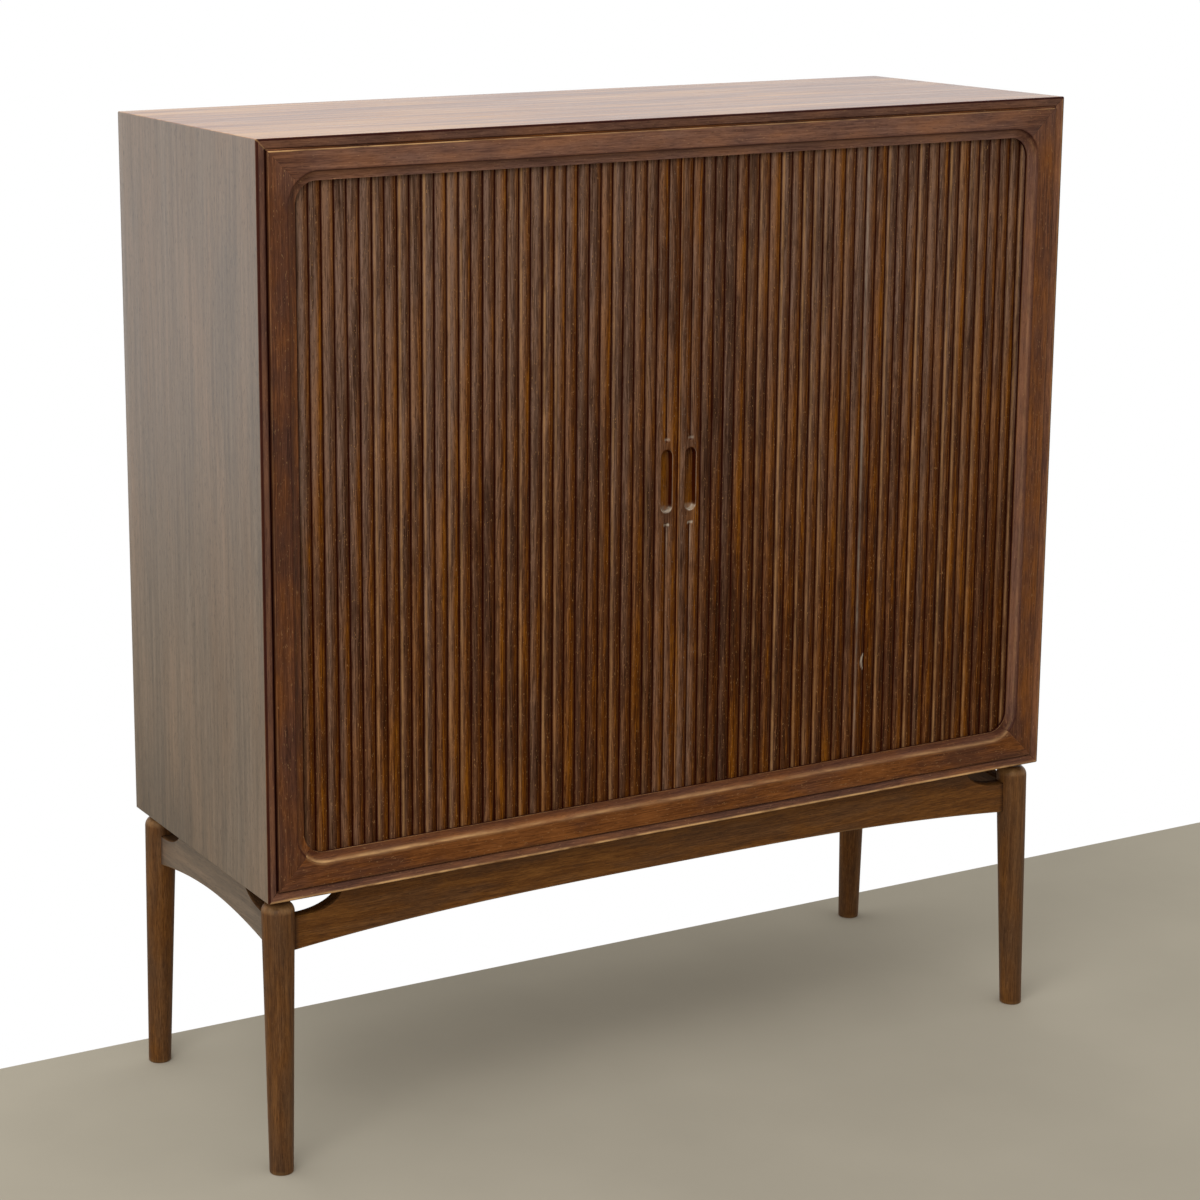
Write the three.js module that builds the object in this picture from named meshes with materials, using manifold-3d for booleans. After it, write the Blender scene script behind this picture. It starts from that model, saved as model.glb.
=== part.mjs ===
// Tambour door cabinet: a mitred case on a splayed base, closed by two slatted doors
// that slide apart in grooves and turn away round the corners of the case.
// Millimetres, +Z up, front towards -Y. The origin is on the floor under the case's middle.

import * as THREE from "three";
import { mergeVertices } from "three/addons/utils/BufferGeometryUtils.js";
import Module from "manifold-3d";

const wasm = await Module();
wasm.setup();

// Case
const caseWidth = 1150;
const caseDepth = 412;
const caseHeight = 902;
const caseBottom = 348;
const boardThickness = 15;

// Clearances shared by all pieces
const fitGap = 0.3;
const mitreGap = 0.12;
const cutOverrun = 5;

// Sloping band round the front of the case, and the rebates of its boards
const rimArris = 2;
const bandWidth = 12;
const bandDrop = 3.5;
const frameSeatDepth = 13;
const backLipThickness = 8;
const backThickness = 6.4;

// Front frame and the cove round its opening
const quirkWidth = 1;
const quirkDepth = 7;
const faceSetback = 0.3;
const frameArris = 1.2;
const coveInset = 38.8;
const coveWidth = 12;
const coveDepth = 8;
const openingRadius = 39;
const coveSteps = 6;
const cornerSteps = 8;

// Slats, glued side by side on canvas
const slatPitch = 16.2;
const slatGap = 0.3;
const slatThickness = 9;
const reedRise = 3;
const reedSteps = 4;
const canvasThickness = 1;
const stripsPerDoor = 5;
const slatsPastTurn = 2;
const doorClearance = 1;

// Lead stiles with their finger pulls
const stileWidth = 30.8;
const stileThickness = 17;
const beadWidth = 3.6;
const beadQuirk = 0.8;
const beadQuirkDepth = 1.6;
const seamGap = 0.3;
const pullWidth = 16;
const pullLength = 79;
const pullDepth = 9;
const pullSteps = 8;
const fluteStopAbove = 10;
const fluteStopBelow = 13;

// Grooves that the doors run in
const grooveClearance = 0.86;
const tongueThickness = 4;
const tongueReach = 6;
const turnRadius = 27;
const turnSteps = 8;
const runClearance = 1;
const trackOffset = 6.5;
const trackEndMargin = 8;

// Inner walls, divider and shelves
const curtainClearance = 2;
const linerSkin = 2;
const linerLead = 6.8;
const innerBackThickness = 6;
const innerBackMargin = 4;
const dividerCore = 2;
const stileClearance = 6;
const shelfThickness = 16;
const shelvesPerBay = 2;
const shelfSetback = 2;
const pinRadius = 3;
const pinLength = 18;
const pinSocket = 8;
const pinSides = 8;
const pinEdgeDistance = 36;

// Legs
const legTopRadius = 20.5;
const legFootRadius = 14.75;
const legTopGap = 7;
const legCrownRadius = 12;
const legCrownSteps = 4;
const legSides = 24;
const legInsetX = 23.5;
const legInsetY = 26;
const legSplayX = 5.5;
const legSplayY = 10.8;

// Rails between the legs
const railThickness = 18;
const railFaceOffset = 7.5;
const railMiddleHeight = 52;
const railEndHeight = 72;
const longArchPower = 2.9;
const shortArchPower = 1.9;
const archSteps = 14;
const notchLength = 58;
const notchFloor = 4;
const notchDepth = 28;
const notchSteps = 7;
const tenonThickness = 8;
const tenonHeight = 30;
const tenonLift = 7;
const tenonTipFromAxis = 8.5;
const tenonRoot = 6;

// Screws that hold the case down on the long rails
const screwFromLeg = 171.5;
const screwHeadRadius = 4.5;
const screwHeadHeight = 3.6;
const screwRadius = 2.2;
const screwTipGap = 1;
const screwShoulder = 26;
const screwSides = 10;

// Places worked out from the sizes
const front = -caseDepth / 2;
const back = caseDepth / 2;
const caseTop = caseBottom + caseHeight;
const caseMiddle = caseBottom + caseHeight / 2;
const pullCentre = caseMiddle;
const floorInside = caseBottom + boardThickness;
const ceilingInside = caseTop - boardThickness;
const frameFace = front + faceSetback;
const frameBack = front + frameSeatDepth - fitGap;
const frameInset = bandWidth + quirkWidth;
const lipInset = coveInset + coveWidth;
const lipRadius = openingRadius - coveWidth;
const slatCrest = front + frameSeatDepth + fitGap;
const stileBack = slatCrest + stileThickness;
const trackY = slatCrest + trackOffset;
const trackX = caseWidth / 2 - boardThickness - trackOffset - runClearance;
const turnX = trackX - turnRadius;
const turnY = trackY + turnRadius;
const slatLow = floorInside + doorClearance;
const slatHigh = ceilingInside - doorClearance;
const beadWidths = { left: beadWidth, right: 0 };
const slatHalf = (slatPitch - slatGap) / 2;
const canvasBack = slatThickness - trackOffset + canvasThickness;
const tongueCorner = Math.hypot(turnRadius + tongueThickness / 2, slatHalf);
const grooveWidth = 2 * (tongueCorner - turnRadius) + grooveClearance;
const grooveDepth = tongueReach + runClearance;
const firstSlat = seamGap / 2 + beadWidth + stileWidth + fitGap;
const slatsPerStrip = Math.floor((turnX - firstSlat) / (stripsPerDoor * slatPitch));
const stripWidth = slatsPerStrip * slatPitch;
const stripsEnd = firstSlat + stripsPerDoor * stripWidth;
const tailSlats = Math.ceil((turnX - stripsEnd) / slatPitch) + slatsPastTurn;
const curtainLength = stripsPerDoor * stripWidth + tailSlats * slatPitch;
const doorTravel = turnX - stileWidth - beadWidth - 2 * runClearance;
const linerOuter = trackX - canvasBack - curtainClearance;
const linerInner = linerOuter - pinSocket - linerSkin;
const linerHalfDepth = linerLead - turnY;
const dividerThickness = 2 * pinSocket + dividerCore;
const interiorFront = stileBack + stileClearance;
const innerBackFront = linerHalfDepth + fitGap;
const bayWidth = linerInner - dividerThickness / 2;
const shelfSpacing = (ceilingInside - floorInside) / (shelvesPerBay + 1);
const legHeight = caseBottom - legTopGap;
const legTopX = caseWidth / 2 - legInsetX;
const legTopY = caseDepth / 2 - legInsetY;
const legFootX = legTopX + legSplayX;
const legFootY = legTopY + legSplayY;
const screwX = legTopX - screwFromLeg;
const screwBite = boardThickness - grooveDepth - screwTipGap;
const longRailBack = legTopY + railFaceOffset - railThickness;

const finishes = {
  caseWood: { color: 0x6f5a4c, roughness: 0.42 },
  frameWood: { color: 0x5f3f2a, roughness: 0.45 },
  slatWood: { color: 0x5c4029, roughness: 0.5 },
  legWood: { color: 0x4c321f, roughness: 0.45 },
  insideWood: { color: 0x8a6a4c, roughness: 0.6 },
  plywood: { color: 0x7a5f45, roughness: 0.65 },
  brass: { color: 0xb08d4a, roughness: 0.35, metalness: 1 },
  steel: { color: 0x8d8f92, roughness: 0.35, metalness: 1 },
};

const cabinet = new THREE.Group();
cabinet.name = "tambour_cabinet";

// Adds one named piece. Its geometry or solid is placed by an optional position.
function addPiece(name, shape, finish, position = [0, 0, 0]) {
  const geometry = shape.isBufferGeometry ? shape : toGeometry(shape);
  const piece = new THREE.Mesh(geometry, new THREE.MeshStandardMaterial(finishes[finish]));
  piece.name = name;
  piece.position.set(...position);
  cabinet.add(piece);
}

// Turns a closed geometry into a solid that can be cut and joined.
function toSolid(geometry) {
  const bare = geometry.clone();
  bare.deleteAttribute("normal");
  bare.deleteAttribute("uv");
  const merged = mergeVertices(bare);
  const vertProperties = new Float32Array(merged.attributes.position.array);
  const triVerts = new Uint32Array(merged.index.array);
  return new wasm.Manifold(new wasm.Mesh({ numProp: 3, vertProperties, triVerts }));
}

function toGeometry(solid) {
  const { vertProperties, triVerts } = solid.getMesh();
  const geometry = new THREE.BufferGeometry();
  geometry.setAttribute("position", new THREE.BufferAttribute(vertProperties, 3));
  geometry.setIndex(new THREE.BufferAttribute(triVerts, 1));
  geometry.computeVertexNormals();
  return geometry;
}

function join(solids) {
  return solids.reduce((whole, next) => whole.add(next));
}

function cut(solid, tools) {
  return tools.reduce((left, tool) => left.subtract(tool), solid);
}

function boxBetween(low, high) {
  const size = high.map((value, axis) => value - low[axis]);
  const middle = high.map((value, axis) => (value + low[axis]) / 2);
  return new THREE.BoxGeometry(...size).translate(...middle);
}

// Extrudes an outline of [x, y] points from one height to another.
function extrudeUp(points, low, high) {
  const shape = new THREE.Shape(points.map(([x, y]) => new THREE.Vector2(x, y)));
  const geometry = new THREE.ExtrudeGeometry(shape, { depth: high - low, bevelEnabled: false });
  return geometry.translate(0, 0, low);
}

// Builds a closed geometry from rings of points of equal count, capped at both ends.
function loft(rings) {
  const count = rings[0].length;
  const positions = rings.flat(2);
  const faces = [];
  for (let ring = 0; ring < rings.length - 1; ring += 1) {
    for (let i = 0; i < count; i += 1) {
      const a = ring * count + i;
      const b = ring * count + ((i + 1) % count);
      faces.push(a, b, b + count, a, b + count, a + count);
    }
  }
  const flat = flattenRing(rings[0]);
  const last = (rings.length - 1) * count;
  for (const [a, b, c] of THREE.ShapeUtils.triangulateShape(flat, [])) {
    faces.push(c, b, a, last + a, last + b, last + c);
  }
  const geometry = new THREE.BufferGeometry();
  geometry.setAttribute("position", new THREE.Float32BufferAttribute(positions, 3));
  geometry.setIndex(faceOutwards(positions, faces));
  geometry.computeVertexNormals();
  return geometry;
}

// Lays a planar ring down in two dimensions so that its cap can be divided into triangles.
function flattenRing(ring) {
  const points = ring.map((point) => new THREE.Vector3(...point));
  const normal = new THREE.Vector3();
  points.forEach((point, i) => {
    normal.add(point.clone().cross(points[(i + 1) % points.length]));
  });
  const along = points[1].clone().sub(points[0]).normalize();
  const across = normal.normalize().cross(along);
  return points.map((point) => new THREE.Vector2(point.dot(along), point.dot(across)));
}

function faceOutwards(positions, faces) {
  let volume = 0;
  const at = (i) => new THREE.Vector3(...positions.slice(3 * i, 3 * i + 3));
  for (let i = 0; i < faces.length; i += 3) {
    volume += at(faces[i]).dot(at(faces[i + 1]).cross(at(faces[i + 2])));
  }
  return volume > 0 ? faces : faces.reverse();
}

// Points of an arc about a centre, from one angle to another, both ends included.
function arcPoints(centre, radius, from, to, steps) {
  return Array.from({ length: steps + 1 }, (_, i) => {
    const angle = from + ((to - from) * i) / steps;
    return [centre[0] + radius * Math.cos(angle), centre[1] + radius * Math.sin(angle)];
  });
}

const quarter = Math.PI / 2;

// A bar with mitred ends. Profile points are [inset from the outside, y].
// The side is top, bottom, left or right, and the bar runs the length of that side.
function mitredBar(profile, side) {
  const upright = side === "left" || side === "right";
  const halfLength = (upright ? caseHeight : caseWidth) / 2;
  const reach = (upright ? caseWidth : caseHeight) / 2;
  const sign = side === "left" || side === "bottom" ? -1 : 1;
  const rings = [-1, 1].map((end) => profile.map(([inset, y]) => {
    const along = end * (halfLength - inset - mitreGap);
    const out = sign * (reach - inset);
    return upright ? [out, y, caseMiddle + along] : [along, y, caseMiddle + out];
  }));
  return toSolid(loft(rings));
}

// Groove that carries the slats: along the front, round both corners, down the sides
// and round again behind the inner back, far enough to take in the whole open curtain.
function trackCutter(low, high) {
  const turn = quarter * turnRadius;
  const length = doorTravel + stileWidth + beadWidth + curtainLength + trackEndMargin;
  const backRun = length - turnX - 2 * turn - 2 * -turnY;
  const halves = [1, -1].map((side) => {
    const radius = turnRadius + (side * grooveWidth) / 2;
    const offset = -turnY + radius;
    return [
      [turnX - backRun, offset],
      ...arcPoints([turnX, -turnY], radius, quarter, 0, turnSteps),
      ...arcPoints([turnX, turnY], radius, 0, -quarter, turnSteps),
    ];
  });
  const mirrored = ([x, y]) => [-x, y];
  const [outer, inner] = halves;
  const outline = [
    ...outer,
    ...outer.map(mirrored).reverse(),
    ...inner.map(mirrored),
    ...[...inner].reverse(),
  ];
  return toSolid(extrudeUp(outline, low, high));
}

// Place and direction on the groove's centre line, at a distance out from the middle.
function trackPoint(distance) {
  if (distance <= turnX) {
    return { x: distance, y: trackY, angle: 0 };
  }
  const turn = quarter * turnRadius;
  if (distance <= turnX + turn) {
    const angle = (distance - turnX) / turnRadius;
    const x = turnX + turnRadius * Math.sin(angle);
    return { x, y: turnY - turnRadius * Math.cos(angle), angle };
  }
  return { x: trackX, y: turnY + distance - turnX - turn, angle: quarter };
}

// Base screws run up through the long rails into the case bottom.
function screwPlaces() {
  const y = longRailBack + railThickness / 2;
  return [["front_left", -1, -1], ["front_right", 1, -1], ["back_left", -1, 1], ["back_right", 1, 1]]
    .map(([name, sideX, sideY]) => ({ name, x: sideX * screwX, y: sideY * y }));
}

function roundHole(radius, sides, low, high, x, y) {
  const geometry = new THREE.CylinderGeometry(radius, radius, high - low, sides);
  return toSolid(geometry.rotateX(quarter).translate(x, y, (low + high) / 2));
}

function addCase() {
  const profile = [
    [0, front + rimArris],
    [rimArris, front],
    [bandWidth, front + bandDrop],
    [bandWidth, front + frameSeatDepth],
    [boardThickness, front + frameSeatDepth],
    [boardThickness, back - backThickness - fitGap],
    [backLipThickness, back - backThickness - fitGap],
    [backLipThickness, back],
    [0, back],
  ];
  const topGroove = trackCutter(ceilingInside - cutOverrun, ceilingInside + grooveDepth);
  const bottomGroove = trackCutter(floorInside - grooveDepth, floorInside + cutOverrun);
  const pilots = screwPlaces().map(({ x, y }) => roundHole(
    screwRadius + fitGap, screwSides, caseBottom - cutOverrun, caseBottom + screwBite + fitGap, x, y));
  addPiece("case_top", cut(mitredBar(profile, "top"), [topGroove]), "caseWood");
  addPiece("case_bottom", cut(mitredBar(profile, "bottom"), [bottomGroove, ...pilots]), "caseWood");
  addPiece("case_left_side", mitredBar(profile, "left"), "caseWood");
  addPiece("case_right_side", mitredBar(profile, "right"), "caseWood");
  const backHalfWidth = caseWidth / 2 - backLipThickness - fitGap;
  const backInset = backLipThickness + fitGap;
  const backLow = [-backHalfWidth, back - backThickness, caseBottom + backInset];
  const backHigh = [backHalfWidth, back, caseTop - backInset];
  addPiece("back_panel", boxBetween(backLow, backHigh), "plywood");
}

// Rounded rectangle in the plane of the front, a given inset from the case's outside.
function openingOutline(inset, radius, y) {
  const halfWidth = caseWidth / 2 - inset - radius;
  const halfHeight = caseHeight / 2 - inset - radius;
  const corners = [[1, 1, 0], [-1, 1, 1], [-1, -1, 2], [1, -1, 3]];
  return corners.flatMap(([sideX, sideZ, turn]) => {
    const centre = [sideX * halfWidth, caseMiddle + sideZ * halfHeight];
    const arc = arcPoints(centre, radius, turn * quarter, (turn + 1) * quarter, cornerSteps);
    return arc.map(([x, z]) => [x, y, z]);
  });
}

// Solid that cuts the rounded opening and its cove out of the front frame.
function openingCutter() {
  const rings = [openingOutline(coveInset, openingRadius, front - cutOverrun)];
  for (let step = 0; step <= coveSteps; step += 1) {
    const angle = (quarter * step) / coveSteps;
    const inset = coveWidth * (1 - Math.cos(angle));
    const y = frameFace + coveDepth * Math.sin(angle);
    rings.push(openingOutline(coveInset + inset, openingRadius - inset, y));
  }
  rings.push(openingOutline(lipInset, lipRadius, frameBack + cutOverrun));
  return toSolid(loft(rings));
}

function addFrontFrame() {
  const cornerInset = lipInset + lipRadius;
  const tongueInset = bandWidth + fitGap;
  const profile = [
    [frameInset, frameFace + frameArris],
    [frameInset + frameArris, frameFace],
    [cornerInset, frameFace],
    [cornerInset, frameBack],
    [tongueInset, frameBack],
    [tongueInset, frameFace + quirkDepth],
    [frameInset, frameFace + quirkDepth],
  ];
  const opening = openingCutter();
  for (const side of ["top", "bottom", "left", "right"]) {
    addPiece(`front_frame_${side}`, cut(mitredBar(profile, side), [opening]), "frameWood");
  }
}

// Curved front of one reed, from its left root over the crest to its right root.
function reedFront(left, width, crest) {
  return Array.from({ length: reedSteps + 1 }, (_, i) => {
    const share = i / reedSteps;
    const drop = reedRise * (2 * share - 1) ** 2;
    return [left + width * share, crest + drop];
  });
}

// Tongues at the top and bottom of a slat or stile, which run in the grooves.
function tongues(left, right, y) {
  const low = [left, y - tongueThickness / 2];
  const high = [right, y + tongueThickness / 2];
  const root = runClearance;
  return [
    toSolid(boxBetween([...low, floorInside - tongueReach], [...high, slatLow + root])),
    toSolid(boxBetween([...low, slatHigh - root], [...high, ceilingInside + tongueReach])),
  ];
}

// One slat about its own place on the groove's centre line, front towards -Y.
function slatSolid() {
  const behind = slatThickness - trackOffset;
  const crown = reedFront(-slatHalf, 2 * slatHalf, -trackOffset);
  const outline = [...crown, [slatHalf, behind], [-slatHalf, behind]];
  return join([toSolid(extrudeUp(outline, slatLow, slatHigh)), ...tongues(-slatHalf, slatHalf, 0)]);
}

// Canvas behind one slat, lapped into the slat and into its neighbours' canvas.
function canvasSolid(overlap) {
  const half = slatPitch / 2 + overlap;
  const lap = canvasBack - canvasThickness - slatGap;
  return toSolid(boxBetween([-half, lap, slatLow], [half, canvasBack, slatHigh]));
}

function slatStrip() {
  const slat = slatSolid();
  const places = Array.from({ length: slatsPerStrip }, (_, i) => (i + 1 / 2) * slatPitch);
  const edge = slatGap / 2;
  const lap = canvasBack - canvasThickness - slatGap;
  const canvas = toSolid(boxBetween([edge, lap, slatLow], [stripWidth - edge, canvasBack, slatHigh]));
  return join([canvas, ...places.map((x) => slat.translate([x, 0, 0]))]);
}

// The last slats, which already lie in the turn of the groove when the door is shut.
// They are trimmed where the bend would press them into the last strip.
function slatTail(start, sign) {
  const solids = [];
  for (let i = 0; i < tailSlats; i += 1) {
    const { x, y, angle } = trackPoint(start + (i + 1 / 2) * slatPitch);
    const degrees = sign * THREE.MathUtils.radToDeg(angle);
    const overlap = i < tailSlats - 1 ? slatGap : -slatGap;
    for (const solid of [slatSolid(), canvasSolid(i === 0 ? -slatGap : overlap)]) {
      solids.push(solid.rotate([0, 0, degrees]).translate([sign * x, y, 0]));
    }
  }
  const ends = [sign * (start - slatPitch), sign * (start + slatGap / 2)].sort((a, b) => a - b);
  const trim = boxBetween([ends[0], front, caseBottom], [ends[1], turnY, caseTop]);
  return cut(join(solids), [toSolid(trim)]);
}

// Flute down the middle of a lead stile, with the reeds' curve on both flanks.
function fluteCutter(x, reed, low, high) {
  const leftFlank = reedFront(x - reed, reed, slatCrest).slice(reedSteps / 2);
  const rightFlank = reedFront(x, reed, slatCrest).slice(0, reedSteps / 2 + 1);
  const roof = slatCrest - cutOverrun;
  const start = leftFlank[0][0];
  const end = rightFlank[rightFlank.length - 1][0];
  const outline = [...leftFlank, ...rightFlank.slice(1), [end, roof], [start, roof]];
  return toSolid(extrudeUp(outline, low, high));
}

// Recessed finger pull with round ends.
function pullCutter(x) {
  const radius = pullWidth / 2;
  const straight = pullLength / 2 - radius;
  const points = [
    ...arcPoints([0, straight], radius, 0, Math.PI, pullSteps),
    ...arcPoints([0, -straight], radius, Math.PI, 2 * Math.PI, pullSteps),
  ];
  const geometry = extrudeUp(points, 0, pullDepth + cutOverrun).rotateX(quarter);
  return toSolid(geometry.translate(x, slatCrest + pullDepth, pullCentre));
}

function leadStile(side) {
  const sign = side === "left" ? -1 : 1;
  const bead = beadWidths[side];
  const seam = seamGap / 2;
  const inner = seam + bead;
  const outer = inner + stileWidth;
  const reed = stileWidth / 2;
  const outerFlank = reedFront(outer - reed, reed, slatCrest).slice(reedSteps / 2);
  const innerFlank = reedFront(inner, reed, slatCrest).slice(0, reedSteps / 2 + 1);
  const beadPoints = bead > 0
    ? [[seam, slatCrest], [inner - beadQuirk, slatCrest], [inner - beadQuirk, slatCrest + beadQuirkDepth],
      [inner, slatCrest + beadQuirkDepth], [inner, slatCrest + beadQuirk]]
    : innerFlank.slice(0, -1);
  const frontPoints = [...beadPoints, innerFlank[innerFlank.length - 1], ...outerFlank];
  const outline = [...frontPoints, [outer, stileBack], [seam, stileBack]]
    .map(([x, y]) => [sign * x, y]);
  const body = toSolid(extrudeUp(outline, slatLow, slatHigh));
  const middle = sign * (inner + reed);
  const pullLow = pullCentre - pullLength / 2;
  const pullHigh = pullCentre + pullLength / 2;
  const span = [sign * seam, sign * outer].sort((a, b) => a - b);
  const whole = join([body, ...tongues(...span, trackY)]);
  return cut(whole, [
    fluteCutter(middle, reed, slatLow - cutOverrun, pullLow - fluteStopBelow),
    fluteCutter(middle, reed, pullHigh + fluteStopAbove, slatHigh + cutOverrun),
    pullCutter(middle),
  ]);
}

function addDoors() {
  const strip = toGeometry(slatStrip());
  for (const side of ["left", "right"]) {
    const sign = side === "left" ? -1 : 1;
    const start = seamGap / 2 + beadWidths[side] + stileWidth + fitGap;
    addPiece(`${side}_lead_stile`, leadStile(side), "slatWood");
    for (let i = 0; i < stripsPerDoor; i += 1) {
      const near = sign * (start + i * stripWidth);
      const x = sign < 0 ? near - stripWidth : near;
      addPiece(`${side}_slat_strip_${i + 1}`, strip, "slatWood", [x, trackY, 0]);
    }
    addPiece(`${side}_slat_tail`, slatTail(start + stripsPerDoor * stripWidth, sign), "slatWood");
  }
}

// Middle heights of the shelf pins under each shelf, and their places front to back.
function pinPlaces() {
  const shelfFront = interiorFront + shelfSetback;
  const depths = [shelfFront + pinEdgeDistance, linerHalfDepth - pinEdgeDistance];
  const levels = Array.from({ length: shelvesPerBay }, (_, i) => floorInside + (i + 1) * shelfSpacing);
  return levels.map((shelfLow) => ({ shelfLow, height: shelfLow - fitGap - pinRadius, depths }));
}

function alongX(radius, low, high, y, z) {
  const geometry = new THREE.CylinderGeometry(radius, radius, high - low, pinSides);
  return geometry.rotateZ(quarter).translate((low + high) / 2, y, z);
}

// Sockets for the shelf pins, cut from a wall's face towards its inside.
function pinSockets(face, inward) {
  const deep = face + inward * (pinSocket + fitGap);
  const proud = face - inward * cutOverrun;
  const [low, high] = [Math.min(deep, proud), Math.max(deep, proud)];
  return pinPlaces().flatMap(({ height, depths }) => depths.map((y) => {
    return toSolid(alongX(pinRadius + fitGap, low, high, y, height));
  }));
}

function addInside() {
  const wallLow = floorInside + fitGap;
  const wallHigh = ceilingInside - fitGap;
  for (const side of ["left", "right"]) {
    const sign = side === "left" ? -1 : 1;
    const faces = [sign * linerInner, sign * linerOuter].sort((a, b) => a - b);
    const low = [faces[0], -linerHalfDepth, wallLow];
    const high = [faces[1], linerHalfDepth, wallHigh];
    const wall = cut(toSolid(boxBetween(low, high)), pinSockets(sign * linerInner, sign));
    addPiece(`${side}_inner_wall`, wall, "insideWood");
  }
  const half = dividerThickness / 2;
  const divider = boxBetween([-half, interiorFront, wallLow], [half, linerHalfDepth, wallHigh]);
  const sockets = [...pinSockets(half, -1), ...pinSockets(-half, 1)];
  addPiece("centre_divider", cut(toSolid(divider), sockets), "insideWood");
  const backHalfWidth = linerInner + innerBackMargin;
  const backLow = [-backHalfWidth, innerBackFront, wallLow];
  const backHigh = [backHalfWidth, innerBackFront + innerBackThickness, wallHigh];
  addPiece("inner_back", boxBetween(backLow, backHigh), "plywood");
  addShelves();
}

function addShelves() {
  const length = bayWidth - 2 * fitGap;
  const shelfFront = interiorFront + shelfSetback;
  const low = [-length / 2, shelfFront, 0];
  const shelf = boxBetween(low, [length / 2, linerHalfDepth, shelfThickness]);
  const pin = alongX(pinRadius, -pinLength / 2, pinLength / 2, 0, 0);
  const bayMiddle = dividerThickness / 2 + bayWidth / 2;
  const pinShift = bayWidth / 2 + pinSocket - pinLength / 2;
  for (const [side, sign] of [["left", -1], ["right", 1]]) {
    pinPlaces().forEach(({ shelfLow, height, depths }, level) => {
      const name = `${side}_shelf_${level + 1}`;
      const x = sign * bayMiddle;
      addPiece(name, shelf, "insideWood", [x, 0, shelfLow]);
      let count = 0;
      for (const y of depths) {
        for (const end of [-1, 1]) {
          count += 1;
          addPiece(`${name}_pin_${count}`, pin, "brass", [x + end * pinShift, y, height]);
        }
      }
    });
  }
}

// Leg with a straight taper and a rounded crown, leaning out towards its foot.
function legSolid(sideX, sideY, extra = 0) {
  const slope = (legTopRadius - legFootRadius) / legHeight;
  const shoulder = legHeight - legCrownRadius;
  const shoulderRadius = legTopRadius - slope * legCrownRadius + extra;
  const crownCentre = [shoulderRadius - legCrownRadius, shoulder];
  const points = [
    [0, 0],
    [legFootRadius + extra, 0],
    ...arcPoints(crownCentre, legCrownRadius, 0, quarter, legCrownSteps),
    [0, legHeight],
  ].map(([radius, height]) => new THREE.Vector2(radius, height));
  const geometry = new THREE.LatheGeometry(points, legSides).rotateX(quarter);
  const leanX = (sideX * (legTopX - legFootX)) / caseBottom;
  const leanY = (sideY * (legTopY - legFootY)) / caseBottom;
  const lean = new THREE.Matrix4().makeShear(0, 0, 0, 0, leanX, leanY);
  geometry.applyMatrix4(lean).translate(sideX * legFootX, sideY * legFootY, 0);
  return toSolid(geometry);
}

// Tenon at one end of a rail, sunk in the leg. Grown by a gap, it is the leg's mortise.
function tenonSolid(long, sideX, sideY, grow = 0) {
  const low = caseBottom - railEndHeight + tenonLift - grow;
  const high = low + tenonHeight + 2 * grow;
  const half = tenonThickness / 2 + grow;
  const centreLong = longRailBack + railThickness / 2;
  const centreShort = legTopX + railFaceOffset - railThickness / 2;
  const legAlong = long ? legTopX : legTopY;
  const tip = legAlong - tenonTipFromAxis + grow;
  const root = legAlong - legTopRadius - tenonRoot;
  const signAlong = long ? sideX : sideY;
  const centre = long ? sideY * centreLong : sideX * centreShort;
  const ends = [signAlong * root, signAlong * tip].sort((a, b) => a - b);
  const corner = (along, across, z) => (long ? [along, across, z] : [across, along, z]);
  return toSolid(boxBetween(corner(ends[0], centre - half, low), corner(ends[1], centre + half, high)));
}

// Rail outline: arched below, scooped at both ends above, along the given half length.
function railOutline(halfLength, legGap, power) {
  const bottom = Array.from({ length: archSteps + 1 }, (_, i) => {
    const share = (2 * i) / archSteps - 1;
    const fall = (railEndHeight - railMiddleHeight) * Math.abs(share) ** power;
    return [share * halfLength, caseBottom - railMiddleHeight - fall];
  });
  const floor = caseBottom - notchDepth;
  const scoopStart = legGap - notchFloor;
  const scoop = Array.from({ length: notchSteps + 1 }, (_, i) => {
    const angle = (quarter * i) / notchSteps;
    const along = scoopStart - notchLength * Math.sin(angle);
    return [along, floor + notchDepth * (1 - Math.cos(angle))];
  });
  const right = [[halfLength, floor], ...scoop];
  const left = [...right].reverse().map(([along, z]) => [-along, z]);
  return [...bottom, ...right, ...left];
}

// Room, with a gap, that the long rails take from the ends of the short ones.
function longRailRoom(side) {
  const ends = [side * (longRailBack - fitGap), side * back].sort((a, b) => a - b);
  return toSolid(boxBetween([-caseWidth, ends[0], 0], [caseWidth, ends[1], caseTop]));
}

function railSolid(long, side) {
  const halfLength = long ? legTopX : legTopY;
  const face = (long ? legTopY : legTopX) + railFaceOffset;
  const power = long ? longArchPower : shortArchPower;
  const outline = railOutline(halfLength, halfLength - legTopRadius, power);
  const geometry = extrudeUp(outline, 0, railThickness).rotateX(quarter);
  geometry.translate(0, side > 0 ? face : -face + railThickness, 0);
  if (!long) {
    geometry.rotateZ(-quarter);
  }
  const ends = [-1, 1].map((end) => (long ? [end, side] : [side, end]));
  const clearances = ends.map(([sideX, sideY]) => legSolid(sideX, sideY, fitGap));
  if (!long) {
    clearances.push(longRailRoom(-1), longRailRoom(1));
  }
  const tenons = ends.map(([sideX, sideY]) => tenonSolid(long, sideX, sideY));
  return join([cut(toSolid(geometry), clearances), ...tenons]);
}

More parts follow.
